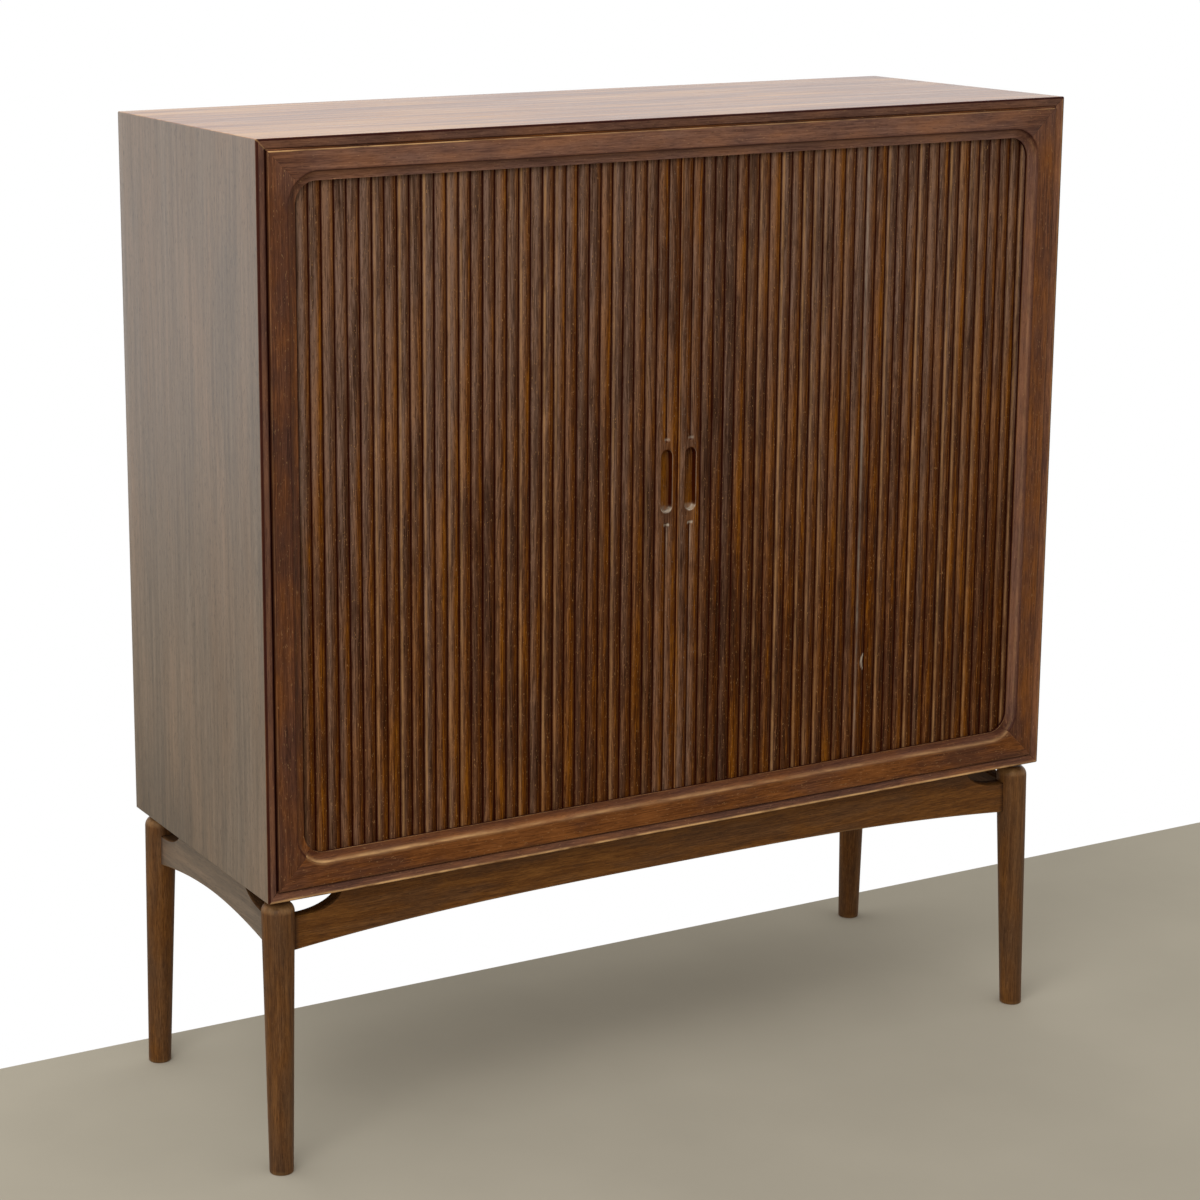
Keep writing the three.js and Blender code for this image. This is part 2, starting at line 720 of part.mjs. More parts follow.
function addBase() {
  for (const [nameY, sideY] of [["front", -1], ["back", 1]]) {
    for (const [nameX, sideX] of [["left", -1], ["right", 1]]) {
      const mortises = [true, false].map((long) => tenonSolid(long, sideX, sideY, fitGap));
      addPiece(`${nameY}_${nameX}_leg`, cut(legSolid(sideX, sideY), mortises), "legWood");
    }
  }
  const shoulder = caseBottom - screwShoulder;
  const floorBelow = caseBottom - railEndHeight - cutOverrun;
  const bores = screwPlaces().flatMap(({ x, y }) => [
    roundHole(screwHeadRadius + fitGap, screwSides, floorBelow, shoulder, x, y),
    roundHole(screwRadius + fitGap, screwSides, floorBelow, caseBottom + cutOverrun, x, y),
  ]);
  addPiece("front_rail", cut(railSolid(true, -1), bores), "legWood");
  addPiece("back_rail", cut(railSolid(true, 1), bores), "legWood");
  addPiece("left_rail", railSolid(false, -1), "legWood");
  addPiece("right_rail", railSolid(false, 1), "legWood");
  addScrews(shoulder);
}

function addScrews(shoulder) {
  const seat = shoulder - fitGap;
  const points = [
    [0, seat - screwHeadHeight],
    [screwHeadRadius, seat - screwHeadHeight],
    [screwHeadRadius, seat],
    [screwRadius, seat],
    [screwRadius, caseBottom + screwBite],
    [0, caseBottom + screwBite],
  ].map(([radius, height]) => new THREE.Vector2(radius, height));
  const screw = toGeometry(toSolid(new THREE.LatheGeometry(points, screwSides).rotateX(quarter)));
  for (const { name, x, y } of screwPlaces()) {
    addPiece(`base_screw_${name}`, screw, "steel", [x, y, 0]);
  }
}

addCase();
addFrontFrame();
addDoors();
addInside();
addBase();

export default cabinet;
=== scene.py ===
import math
import random
import bmesh
import bpy
from mathutils import Euler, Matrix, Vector


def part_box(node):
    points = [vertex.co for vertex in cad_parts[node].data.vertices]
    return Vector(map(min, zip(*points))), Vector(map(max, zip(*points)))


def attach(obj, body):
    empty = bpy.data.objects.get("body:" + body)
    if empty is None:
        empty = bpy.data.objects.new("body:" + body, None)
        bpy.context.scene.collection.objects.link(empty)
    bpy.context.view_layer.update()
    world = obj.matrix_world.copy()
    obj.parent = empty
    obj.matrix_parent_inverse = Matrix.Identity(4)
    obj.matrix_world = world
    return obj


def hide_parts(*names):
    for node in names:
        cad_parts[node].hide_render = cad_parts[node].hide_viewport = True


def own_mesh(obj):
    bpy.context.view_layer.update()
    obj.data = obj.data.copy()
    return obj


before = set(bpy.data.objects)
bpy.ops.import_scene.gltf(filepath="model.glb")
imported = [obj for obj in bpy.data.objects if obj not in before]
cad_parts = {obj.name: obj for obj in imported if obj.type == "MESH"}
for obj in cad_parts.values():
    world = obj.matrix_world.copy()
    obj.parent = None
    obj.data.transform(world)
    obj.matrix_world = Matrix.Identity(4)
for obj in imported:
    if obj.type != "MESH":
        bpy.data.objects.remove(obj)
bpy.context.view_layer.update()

# Tambour door cabinet. Lengths in this file are millimetres unless a note says otherwise.
mm = 0.001
seeded = random.Random(1957)
# The wear mark holds real wear and painted highlights, the dirt mark real dirt and painted shade.
markNames = ("wear", "dirt", "tone", "warmth")  # what the wood reads at each point
sides = ("top", "bottom", "left", "right")
axisOrder = {"x": (1, 2, 0), "y": (0, 2, 1), "z": (0, 1, 2)}  # the two ways across each axis, then along it


def linear(hexColour):
    channels = [int(hexColour[i:i + 2], 16) / 255 for i in (1, 3, 5)]
    straight = [c / 12.92 if c <= 0.04045 else ((c + 0.055) / 1.055) ** 2.4 for c in channels]
    return (*straight, 1.0)


# Adds one node with its settings, sets or links its inputs, and gives back its outputs.
def addNode(tree, kind, settings=None, inputs=()):
    node = tree.nodes.new("ShaderNode" + kind)
    for key, value in (settings or {}).items():
        if key != "stops":
            setattr(node, key, value)
            continue
        while len(node.color_ramp.elements) < len(value):
            node.color_ramp.elements.new(0.5)
        for element, (place, colour) in zip(node.color_ramp.elements, value):
            element.position = place
            element.color = colour
    for key, value in inputs.items() if isinstance(inputs, dict) else enumerate(inputs):
        if isinstance(value, bpy.types.NodeSocket):
            tree.links.new(value, node.inputs[key])
        else:
            node.inputs[key].default_value = value
    return node.outputs


def newMaterial(name):
    material = bpy.data.materials.new(name)
    material.use_nodes = True
    material.node_tree.nodes.clear()
    return material, material.node_tree


# Ends a material in a surface with dents: their strength, their depth in mm and where they are
def endSurface(tree, dents, inputs):
    strength, depth, height = dents
    normal = addNode(tree, "Bump", None, {"Strength": strength, "Distance": depth * mm, "Height": height})[0]
    surface = addNode(tree, "BsdfPrincipled", None, {**inputs, "Normal": normal})[0]
    addNode(tree, "OutputMaterial", None, {"Surface": surface})


# Oiled and lacquered walnut, planed and sanded: brown streaks along the grain, short dark pores,
# a grey bloom that is partly painted sheen, and paler arrises and nicks where the lacquer is rubbed off,
# with painted highlights on some arrises; its grime is dirt and painted shade.
# Sizes in mm are across and along the grain. Pores are really 0.2 wide, drawn coarser to show.
walnutBase = {
    "coolDark": "#33231a", "coolMid": "#594331", "coolLight": "#7c654f",
    "warmDark": "#281203", "warmMid": "#532e0e", "warmLight": "#7f5020",
    "worn": "#b98f5c", "grimeAndShade": "#1a0602", "fleck": "#1f1008",
    "figure": (9, 190, 0.13), "streak": (1.6, 55, 0.17), "fibre": (0.8, 14, 0.10), "blotch": (45, 120, 0.15),
    "pore": (1.1, 9), "poreAmount": 0.45, "nick": (1.5, 5), "nickAmount": 0.3, "nickLow": 0.69,
    "roughness": 0.4, "ior": 1.5, "specular": 0.25, "coat": 0.0, "coatRoughness": 0.25,
    "bump": 0.3, "wornAmount": 0.9,
}
# What all the woods share. A layer has its detail and the place in the noise that it is taken from,
# and a span is the part of a noise that counts.
woodPattern = {
    "drift": (70, 420), "driftReach": (0.02, 0.012), "patch": (12, 45), "noiseRoughness": 0.6,
    "layers": {"drift": (1, 3.1), "figure": (2, 1.7), "streak": (3, 5.3), "fibre": (2, 9.1),
               "blotch": (3, 12.9), "pore": (1, 15.7), "patch": (3, 21.3), "nick": (1, 27.9)},
    "toneGain": 0.9, "toneBase": 0.05, "shadeSpan": (0.28, 0.72), "shadeGain": 1.6,
    "warmSpan": (0.35, 0.65), "warmReach": 0.22, "stops": (0.1, 0.5, 0.9), "poreSpan": (0.6, 0.67),
    "patchSpan": (0.36, 0.6), "patchLeast": 0.25, "nickFade": 0.04,
    "roughSpan": (0.3, 0.7), "roughLess": 0.05, "roughMore": 0.07, "roughDirtAndShade": 0.25, "bumpDepth": 0.25,
}


def makeWood(name, changes=None):
    look = {**walnutBase, **(changes or {})}
    rule = woodPattern
    material, tree = newMaterial(name)
    add, multiply, blend = {"operation": "ADD"}, {"operation": "MULTIPLY"}, {"data_type": "RGBA"}
    grain = addNode(tree, "Attribute", {"attribute_name": "grain"})["Vector"]
    wear, dirt, tone, warmth = [
        addNode(tree, "Attribute", {"attribute_name": mark})["Fac"] for mark in markNames]

    # noise drawn out along the grain
    def layer(key, size, source=grain):
        across, along = [1 / (length * mm) for length in size]
        detail, offset = rule["layers"][key]
        moved = addNode(tree, "VectorMath", {"operation": "MULTIPLY_ADD"},
                        [source, (along, across, across), (offset, offset, offset)])[0]
        return addNode(tree, "TexNoise", None, {
            "Vector": moved, "Scale": 1.0, "Detail": detail, "Roughness": rule["noiseRoughness"]})[0]

    # the grain wanders a little from side to side
    drift = layer("drift", rule["drift"])
    aside = [addNode(tree, "Math", multiply, [drift, reach])[0] for reach in rule["driftReach"]]
    aside = addNode(tree, "CombineXYZ", None, {1: aside[0], 2: aside[1]})[0]
    wandering = addNode(tree, "VectorMath", add, [grain, aside])[0]
    shade = addNode(tree, "Math", {"operation": "MULTIPLY_ADD"},
                    [tone, rule["toneGain"], rule["toneBase"]])[0]
    layers = {}
    for key in ("figure", "streak", "fibre", "blotch"):
        *size, weight = look[key]
        layers[key] = layer(key, size, grain if key == "blotch" else wandering)
        swing = weight * rule["shadeGain"]
        part = addNode(tree, "MapRange", None, [layers[key], *rule["shadeSpan"], -swing, swing])[0]
        shade = addNode(tree, "Math", add, [shade, part])[0]
    shade = addNode(tree, "Math", {"operation": "MAXIMUM", "use_clamp": True}, [shade, 0.0])[0]
    reach = rule["warmReach"]
    part = addNode(tree, "MapRange", None, [layers["blotch"], *rule["warmSpan"], -reach, reach])[0]
    warm = addNode(tree, "Math", {"operation": "ADD", "use_clamp": True}, [warmth, part])[0]
    ramps = []
    for key in ("cool", "warm"):
        colours = [linear(look[key + depth]) for depth in ("Dark", "Mid", "Light")]
        ramps.append(addNode(tree, "ValToRGB", {"stops": list(zip(rule["stops"], colours))}, [shade])[0])
    colour = addNode(tree, "Mix", blend, {0: warm, 6: ramps[0], 7: ramps[1]})[2]
    pore = addNode(tree, "MapRange", None, [layer("pore", look["pore"], wandering), *rule["poreSpan"]])[0]
    pore = addNode(tree, "Math", multiply, [pore, look["poreAmount"]])[0]
    # rubbed edges and painted highlights are broken along their length
    patch = addNode(tree, "MapRange", None,
                    [layer("patch", rule["patch"]), *rule["patchSpan"], rule["patchLeast"], 1.0])[0]
    rubbedAndLit = addNode(tree, "Math", multiply, [wear, patch])[0]
    rubbedAndLit = addNode(tree, "Math", multiply, [rubbedAndLit, look["wornAmount"]])[0]
    nick = addNode(tree, "MapRange", None,
                   [layer("nick", look["nick"]), look["nickLow"], look["nickLow"] + rule["nickFade"]])[0]
    nick = addNode(tree, "Math", multiply, [nick, look["nickAmount"]])[0]
    worn = addNode(tree, "Math", {"operation": "MAXIMUM", "use_clamp": True}, [rubbedAndLit, nick])[0]
    for amount, key in ((pore, "fleck"), (worn, "worn"), (dirt, "grimeAndShade")):
        colour = addNode(tree, "Mix", blend, {0: amount, 6: colour, 7: linear(look[key])})[2]

    low, high = look["roughness"] - rule["roughLess"], look["roughness"] + rule["roughMore"]
    rough = addNode(tree, "MapRange", None, [layers["streak"], *rule["roughSpan"], low, high])[0]
    dull = addNode(tree, "Math", multiply, [dirt, rule["roughDirtAndShade"]])[0]
    rough = addNode(tree, "Math", {"operation": "ADD", "use_clamp": True}, [rough, dull])[0]
    ridges = addNode(tree, "Math", add, [layers["streak"], layers["fibre"]])[0]
    height = addNode(tree, "Math", {"operation": "SUBTRACT"}, [ridges, pore])[0]
    endSurface(tree, (look["bump"], rule["bumpDepth"], height), {
        "Base Color": colour, "Roughness": rough, "IOR": look["ior"], "Specular IOR Level": look["specular"],
        "Coat Weight": look["coat"], "Coat Roughness": look["coatRoughness"]})
    return material


# The sides have the fullest lacquer: seen along the face they take a grey sheen, with fine flecks.
sideWalnut = makeWood("caseWalnutSatinLacquer", {
    "coolDark": "#4a3f36", "coolMid": "#726253", "coolLight": "#8e7e6e",
    "warmDark": "#402b1e", "warmMid": "#6c533c", "warmLight": "#8a6a50",
    "figure": (7, 260, 0.10), "streak": (1.5, 120, 0.09), "fibre": (0.9, 20, 0.08),
    "blotch": (60, 300, 0.08), "pore": (1.5, 9), "poreAmount": 0.4, "nickAmount": 0.0,
    "worn": "#a58c70", "specular": 0.5, "coat": 0.25, "coatRoughness": 0.3})
# The top is sun bleached and polished by use: paler, warmer and glossier than the rest; its paleness is
# partly painted sheen.
topWalnut = makeWood("topWalnutBleachedPolishedPaintedSheen", {
    "coolDark": "#805848", "coolMid": "#a97f68", "coolLight": "#c29c7c",
    "warmDark": "#834c2a", "warmMid": "#b07842", "warmLight": "#cb9a60",
    "figure": (14, 420, 0.26), "streak": (2.5, 150, 0.12), "blotch": (60, 300, 0.15), "nickAmount": 0.0,
    "poreAmount": 0.2, "roughness": 0.3, "specular": 0.42, "coat": 0.15, "coatRoughness": 0.15})
# The frame is handled most: redder, with its lacquer rubbed through to pale wood on the arrises, which also
# carry painted highlights.
frameWalnut = makeWood("frameWalnutRubbedLacquer", {
    "coolDark": "#301c18", "coolMid": "#5f4136", "coolLight": "#866353",
    "warmDark": "#2b1205", "warmMid": "#5b3111", "warmLight": "#8a5326",
    "figure": (7, 220, 0.07), "streak": (1.4, 70, 0.10), "fibre": (0.9, 18, 0.09), "blotch": (28, 90, 0.11),
    "specular": 0.1, "poreAmount": 0.3, "nickAmount": 0.2, "worn": "#dbac74", "wornAmount": 1.0,
    "grimeAndShade": "#2e0a08"})
# Slats lie edge to edge with polish, dust and painted shade in the grooves; the crests are rubbed in thin
# lines, with a painted cool sheen on the left flanks.
slatLook = {
    "coolDark": "#2f190d", "coolMid": "#563d2e", "coolLight": "#7e6252",
    "warmDark": "#2c1201", "warmMid": "#542a05", "warmLight": "#86500f",
    "figure": (5, 260, 0.10), "streak": (1.3, 80, 0.18), "fibre": (0.9, 22, 0.17), "blotch": (22, 150, 0.12),
    "nick": (1.1, 4), "nickAmount": 0.6, "nickLow": 0.695, "roughness": 0.42, "specular": 0.05,
    "worn": "#b98a58", "grimeAndShade": "#350900"}
slatWalnut = makeWood("slatWalnutOiled", slatLook)
# Hands have worn the lead stiles to a pale grey at the pulls; the same pale colour paints highlights there.
stileWalnut = makeWood("stileWalnutHandled", {**slatLook, "worn": "#d6c9b4", "nickAmount": 0.15})
# The base is turned and shaped, then lacquered: even in colour, with little figure.
legWalnut = makeWood("legWalnutTurnedLacquer", {
    "coolMid": "#624a35", "warmMid": "#5f3812", "warmLight": "#8a5a26", "specular": 0.15,
    "figure": (8, 220, 0.07), "streak": (1.4, 60, 0.09), "fibre": (0.9, 14, 0.08), "blotch": (30, 120, 0.07),
    "poreAmount": 0.3, "nickAmount": 0.1})
# The scoops in the rails are spokeshaved and only oiled: dull, without the sheen of the faces.
scoopWalnut = makeWood("scoopWalnutShavedOiled", {
    "warmMid": "#5f3812", "warmLight": "#8a5a26", "roughness": 0.75, "specular": 0.02, "nickAmount": 0.0})
# Inside, a thin lacquer that no sun or hand has reached: lighter and duller.
insideWalnut = makeWood("insideWalnutThinLacquer", {
    "coolDark": "#5a4334", "coolMid": "#7d6049", "coolLight": "#97785c",
    "warmDark": "#54351d", "warmMid": "#84592f", "warmLight": "#a5753f",
    "roughness": 0.5, "nickAmount": 0.0})
# Rotary cut plywood, thinly varnished: broad soft figure, paler and flatter than the solid wood.
backPlywood = makeWood("plywoodRotaryCutVarnished", {
    "coolDark": "#5e4835", "coolMid": "#7c6149", "coolLight": "#957960",
    "warmDark": "#583b22", "warmMid": "#7e5a38", "warmLight": "#9b744b",
    "figure": (30, 520, 0.13), "streak": (2.2, 160, 0.13), "fibre": (1.2, 30, 0.10),
    "blotch": (90, 400, 0.07), "roughness": 0.58, "bump": 0.15, "nickAmount": 0.0})

# Cotton canvas, plain weave, glued: a dull cloth of crossed threads
canvasLook = {
    "thread": 0.6, "wavesInUnit": 20, "wobble": 0.4, "low": "#4b3f30", "high": "#85745a",
    "roughness": 0.9, "specular": 0.2, "bump": 0.4, "bumpDepth": 0.2,
}


def makeCanvas():
    look = canvasLook
    material, tree = newMaterial("canvasCottonPlainWeave")
    place = addNode(tree, "TexCoord")["Object"]
    scale = 1 / (look["thread"] * mm) / look["wavesInUnit"]
    wave = {"Vector": place, "Scale": scale, "Distortion": look["wobble"]}
    threads = [addNode(tree, "TexWave", {"bands_direction": direction}, wave)[1] for direction in "XZ"]
    weave = addNode(tree, "Math", {"operation": "MULTIPLY"}, threads)[0]
    colour = addNode(tree, "Mix", {"data_type": "RGBA"},
                     {0: weave, 6: linear(look["low"]), 7: linear(look["high"])})[2]
    endSurface(tree, (look["bump"], look["bumpDepth"], weave), {
        "Base Color": colour, "Roughness": look["roughness"], "Specular IOR Level": look["specular"]})
    return material


# Turned metal, left bare: tight rings of tool marks and a warm or grey glint with dull patches.
# Patches and marks are sizes in mm.
metalLook = {"patch": 3, "mark": 0.5, "roughLess": 0.08, "roughMore": 0.15, "bump": 0.15, "bumpDepth": 0.05}


def makeTurnedMetal(name, bright, dull, roughness):
    look = metalLook
    material, tree = newMaterial(name)
    place = addNode(tree, "TexCoord")["Object"]
    patches, marks = [addNode(tree, "TexNoise", None, {
        "Vector": place, "Scale": 1 / (look[key] * mm), "Detail": detail})[0]
        for key, detail in (("patch", 3.0), ("mark", 1.0))]
    colour = addNode(tree, "Mix", {"data_type": "RGBA"}, {0: patches, 6: linear(bright), 7: linear(dull)})[2]
    low, high = roughness - look["roughLess"], roughness + look["roughMore"]
    rough = addNode(tree, "MapRange", None, {"Value": patches, "To Min": low, "To Max": high})[0]
    endSurface(tree, (look["bump"], look["bumpDepth"], marks),
               {"Base Color": colour, "Metallic": 1.0, "Roughness": rough})
    return material


canvas = makeCanvas()
pinBrass = makeTurnedMetal("brassTurnedUnlacquered", "#c9a559", "#8f7038", 0.35)
screwSteel = makeTurnedMetal("steelTurnedOiled", "#a5a6a6", "#6d6c6a", 0.38)
print("finishes made")


def lerp(a, b, share):
    return a + (b - a) * share


def spread(low, high, count):
    return [lerp(low, high, i / (count - 1)) for i in range(count)]


def smooth(value, low, high):
    share = min(max((value - low) / (high - low), 0), 1)
    return share * share * (3 - 2 * share)


def bell(value, middle, width):
    return math.exp(-((value - middle) / width) ** 2)


# Smooth seeded wandering about zero, at most about 1, over a length of a few hundred mm.
def wander():
    waves = [(seeded.uniform(0.004, 0.03), seeded.uniform(0, 6.3), seeded.uniform(0.2, 0.5))
             for _ in range(3)]
    return lambda place: sum(size * math.sin(place * rate + phase) for rate, phase, size in waves)


# Coordinates of the wood itself: along the grain first, from a place of its own in the tree.
def grainAlong(axis):
    shift = [seeded.uniform(-6, 6) for _ in range(3)]
    first, second, last = axisOrder[axis]
    return lambda point: tuple(point[i] * mm + s for i, s in zip((last, first, second), shift))


# A point from its two places across an axis and its place along it
def across(axis, a, b, along):
    return {"x": (along, a, b), "y": (a, along, b), "z": (a, b, along)}[axis]


def newShell():
    return {"points": [], "faces": [], "slots": [], "marks": [], "grain": []}


# Adds a skin through rings of points. A point is (x, y, z), its marks (wear and painted highlight, dirt and
# painted shade, tone, warmth).
# One mark can stand for all, and isOpen says which strips of the skin are left out.
def addLoft(shell, rings, marks, grain, slots=0, caps=("start", "end"), isOpen=lambda row, place: False):
    count = len(rings[0])
    slots = slots if isinstance(slots, list) else [slots] * count
    marks = marks if isinstance(marks, list) else [[marks] * count] * len(rings)
    first = len(shell["points"])
    last = first + (len(rings) - 1) * count
    for ring, ringMarks in zip(rings, marks):
        shell["points"] += ring
        shell["marks"] += ringMarks
        shell["grain"] += [grain(point) for point in ring]
    for row in range(len(rings) - 1):
        for place in range(count):
            if isOpen(row, place):
                continue
            a = first + row * count + place
            b = first + row * count + (place + 1) % count
            shell["faces"].append((a, b, b + count, a + count))
            shell["slots"].append(slots[place])
    ends = {"start": range(first + count - 1, first - 1, -1), "end": range(last, last + count)}
    shell["faces"] += [tuple(ends[cap]) for cap in caps]
    shell["slots"] += [slots[0]] * len(caps)


def makePiece(shell, name, body, materials, nodes=(), sharp=38, weld=False):
    mesh = bpy.data.meshes.new(name)
    mesh.from_pydata([tuple(c * mm for c in point) for point in shell["points"]], [], shell["faces"])
    for index, key in enumerate(markNames):
        values = [mark[index] for mark in shell["marks"]]
        mesh.attributes.new(key, "FLOAT", "POINT").data.foreach_set("value", values)
    flat = [value for vector in shell["grain"] for value in vector]
    mesh.attributes.new("grain", "FLOAT_VECTOR", "POINT").data.foreach_set("vector", flat)
    for material in materials:
        mesh.materials.append(material)
    mesh.polygons.foreach_set("material_index", shell["slots"])
    shaped = bmesh.new()
    shaped.from_mesh(mesh)
    if weld:
        bmesh.ops.remove_doubles(shaped, verts=shaped.verts, dist=0.01 * mm)
    bmesh.ops.recalc_face_normals(shaped, faces=shaped.faces)
    for face in shaped.faces:
        face.smooth = True
    shaped.to_mesh(mesh)
    shaped.free()
    mesh.set_sharp_from_angle(angle=math.radians(sharp))
    piece = bpy.data.objects.new(name, mesh)
    bpy.context.scene.collection.objects.link(piece)
    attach(piece, body)
    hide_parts(*nodes)
    return piece


# One value of each row of a table for one side: rows are in the order top, bottom, left, right
def lookOf(table, side):
    return {key: row[sides.index(side)] for key, row in table.items()}


case = {
    "width": 1150, "depth": 412, "height": 902, "bottom": 348, "board": 15,
    "rimRadius": 2.2, "rimSteps": 6, "bandWidth": 12, "bandDrop": 3.5, "frameSeat": 13, "bandEdge": 0.35,
    "backLip": 8, "backPanel": 6.4, "backArris": 1.2, "backArrisBend": (0.35, 0.3), "fitGap": 0.3,
    "mitreGap": 0.12, "mitreRound": 1.3, "mitreDepth": 3, "hairline": 0.25, "frontDepth": 4,
    "grooveWidth": 7, "grooveDepth": 7, "trackY": -186.2, "lengthSteps": 16,
    "outsideRows": (190, 100, 0, -100, -190, -202), "bandShares": (0.05, 0.12, 0.22, 0.4, 0.7, 0.84, 0.95),
    # how the front rim and band of each side are rubbed and stained, and where painted shade and highlight
    # lie on them: top, bottom, left, right
    "sides": {
        "rimWearAndHighlight": (0, 1, 0, 0.4), "rimShade": (0.95, 0, 0.85, 0.5), "rimShadeWidth": (0.7, 0.6, 1.6, 0.6),
        "bandShade": (0, 0.6, 0.9, 0.35), "bandTone": (0.63, 0.6, 0.6, 0.68),
        "bandWarmth": (0.12, 0.55, 0.3, 0.5), "wallWearAndHighlight": (0, 0.3, 0, 0),
        "faceWarmth": (0.65, 0.4, 0.3, 0.3),
    },
}
caseFront = -case["depth"] / 2
caseBack = case["depth"] / 2
caseMiddle = case["bottom"] + case["height"] / 2


# Whether a side stands upright, half its length, its distance from the middle and the way that it lies
def sideReach(side):
    upright = side in ("left", "right")
    sizes = (case["height"] / 2, case["width"] / 2)
    return upright, *(sizes if upright else sizes[::-1]), -1 if side in ("left", "bottom") else 1


def sidePoint(upright, along, out, y):
    return (out, y, caseMiddle + along) if upright else (along, y, caseMiddle + out)


# Profile of a case board from the back round the outside to the inside, as
# (inset from the outside, y, wear and painted highlight, dirt and painted shade, tone, warmth), with the
# skin of the strip after each point.
def boardProfile(side):
    look = lookOf(case["sides"], side)
    radius, board, lip, arris = case["rimRadius"], case["board"], case["backLip"], case["backArris"]
    face, wall, width = look["faceWarmth"], look["wallWearAndHighlight"], case["bandWidth"]
    bend = case["backArrisBend"]
    outside = [
        (lip, caseBack, 0, 0.3, 0.5, face), (arris, caseBack, 0.1, 0, 0.5, face),
        (bend[0], caseBack - bend[1], 0.4, 0, 0.5, face), (0, caseBack - arris, 0.1, 0, 0.5, face)]
    outside += [(0, y, 0, 0, 0.5, face) for y in case["outsideRows"]]
    # the rim and the band's outer edge are painted dark as shade where the rim turns, most on the top and
    # left, and the band's inner end too; the rim's pale line is wear and a painted highlight, brightest at
    # the bottom
    band = []
    for step in range(case["rimSteps"] + 1):
        angle = math.pi / 2 * step / case["rimSteps"]
        shadow = look["rimShade"] * smooth(step, 0.5, 2)
        band.append((radius * (1 - math.cos(angle)), caseFront + radius * (1 - math.sin(angle)),
                     look["rimWearAndHighlight"] * bell(step, 5.2, 2.2), shadow, 0.45, 1))
    for share in case["bandShares"]:
        inset = lerp(radius, width, share)
        shadow = look["rimShade"] * (1 - smooth(inset - radius, 0, look["rimShadeWidth"]))
        shadow = max(shadow, look["bandShade"] * smooth(share, 0.8, 0.95))
        band.append((inset, caseFront + case["bandDrop"] * share, look["rimWearAndHighlight"] * bell(inset, radius, 1.1),
                     shadow, look["bandTone"], look["bandWarmth"]))
    seat = caseFront + case["frameSeat"]
    # the band's inner wall is pale with wear and painted highlight at the bottom, and the hidden gap behind
    # it is painted dark as shade
    band += [
        (width, caseFront + case["bandDrop"] + case["bandEdge"], wall, 0.6 * (1 - wall), 0.4, 1),
        (width, seat, 0, 1 - wall, 0.4, 1), (board, seat, 0, 1, 0.4, 1)]
    inward = []
    if side in ("top", "bottom"):
        half = case["grooveWidth"] / 2
        deep = board - case["grooveDepth"]
        for inset, y in ((board, -half), (deep, -half), (deep, half), (board, half)):
            inward.append((inset, case["trackY"] + y, 0, 0.4 if inset == deep else 0.1, 0.5, 0.5))
    rebate = caseBack - case["backPanel"] - case["fitGap"]
    inward += [(board, rebate, 0, 0.1, 0.55, 0.5), (lip, rebate, 0, 0.2, 0.5, 0.5)]
    skins = [0] * len(outside) + [1] * (len(band) - 1) + [2] * (len(inward) + 1)
    return outside + band + inward, skins


def addBoard(shell, side):
    profile, skins = boardProfile(side)
    upright, halfLength, reach, sign = sideReach(side)
    radius, mitre = case["mitreRound"], math.radians(45)
    endCap = radius * (1 - math.cos(mitre))
    nearFront = caseFront + case["frontDepth"]

    def ring(inward, cap, end, sunk=0.0):
        points = []
        for inset, y, *_ in profile:
            nearness = max(0, 1 - inset / case["mitreDepth"])
            along = end * (halfLength - inset - endCap * nearness - case["mitreGap"] - inward)
            lowered = inset + cap * nearness + sunk * (1 if inset < case["backLip"] else -1)
            y += sunk if y < nearFront else 0
            points.append(sidePoint(upright, along, sign * (reach - lowered), y))
        return points

    stations = []
    for end in (-1, 1):
        near = [ring(0, endCap, end, case["hairline"])]
        for angle in spread(mitre, 0, 4):
            shift = radius * (math.sin(mitre) - math.sin(angle))
            near.append(ring(shift + case["hairline"], radius * (1 - math.cos(angle)), end))
        stations.append(near)
    left, right = stations
    inner = [[tuple(lerp(a, b, share) for a, b in zip(p, q)) for p, q in zip(left[-1], right[-1])]
             for share in spread(0, 1, case["lengthSteps"] + 1)[1:-1]]
    rings = left + inner + right[::-1]
    marks = []
    for index in range(len(rings)):
        atEnd = index in (0, len(rings) - 1)
        # the front left top corner is painted pale along its mitre, as rubbing and a painted highlight
        rubbedAndLit = 0.5 * (side == "left" and index > len(rings) - 5 or side == "top" and index < 4)
        share = index / (len(rings) - 1)
        low = 1 - smooth(share, 0, 0.35)
        ringMarks = []
        for skin, (_, y, wear, dirt, tone, warmth) in zip(skins, profile):
            if y < nearFront:
                wear = max(wear * (not atEnd), rubbedAndLit)
                dirt = max(dirt * (1 - rubbedAndLit), (0.6 - rubbedAndLit) * atEnd)
            # painted light: the top falls from pale and warm at the left to darker and cooler at the right,
            # and the sides are painted darker as shade low down and towards the back
            if skin == 0 and side == "top":
                tone, warmth = lerp(0.5, 0.14, share), lerp(0.75, 0.5, share)
            elif skin == 0 and upright:
                tone += 0.07 - 0.04 * low - 0.55 * low * smooth(y, -150, 150)
            ringMarks.append((wear, dirt, tone, warmth))
        marks.append(ringMarks)
    addLoft(shell, rings, marks, grainAlong("z" if upright else "x"), skins)


for side in sides:
    shell = newShell()
    addBoard(shell, side)
    node = f"case_{side}" if side in ("top", "bottom") else f"case_{side}_side"
    outer = {"top": topWalnut, "bottom": insideWalnut}.get(side, sideWalnut)
    finishes = [outer, frameWalnut, insideWalnut]
    makePiece(shell, f"{node}_board", "carcass", finishes, [node], sharp=30)
print("case made")


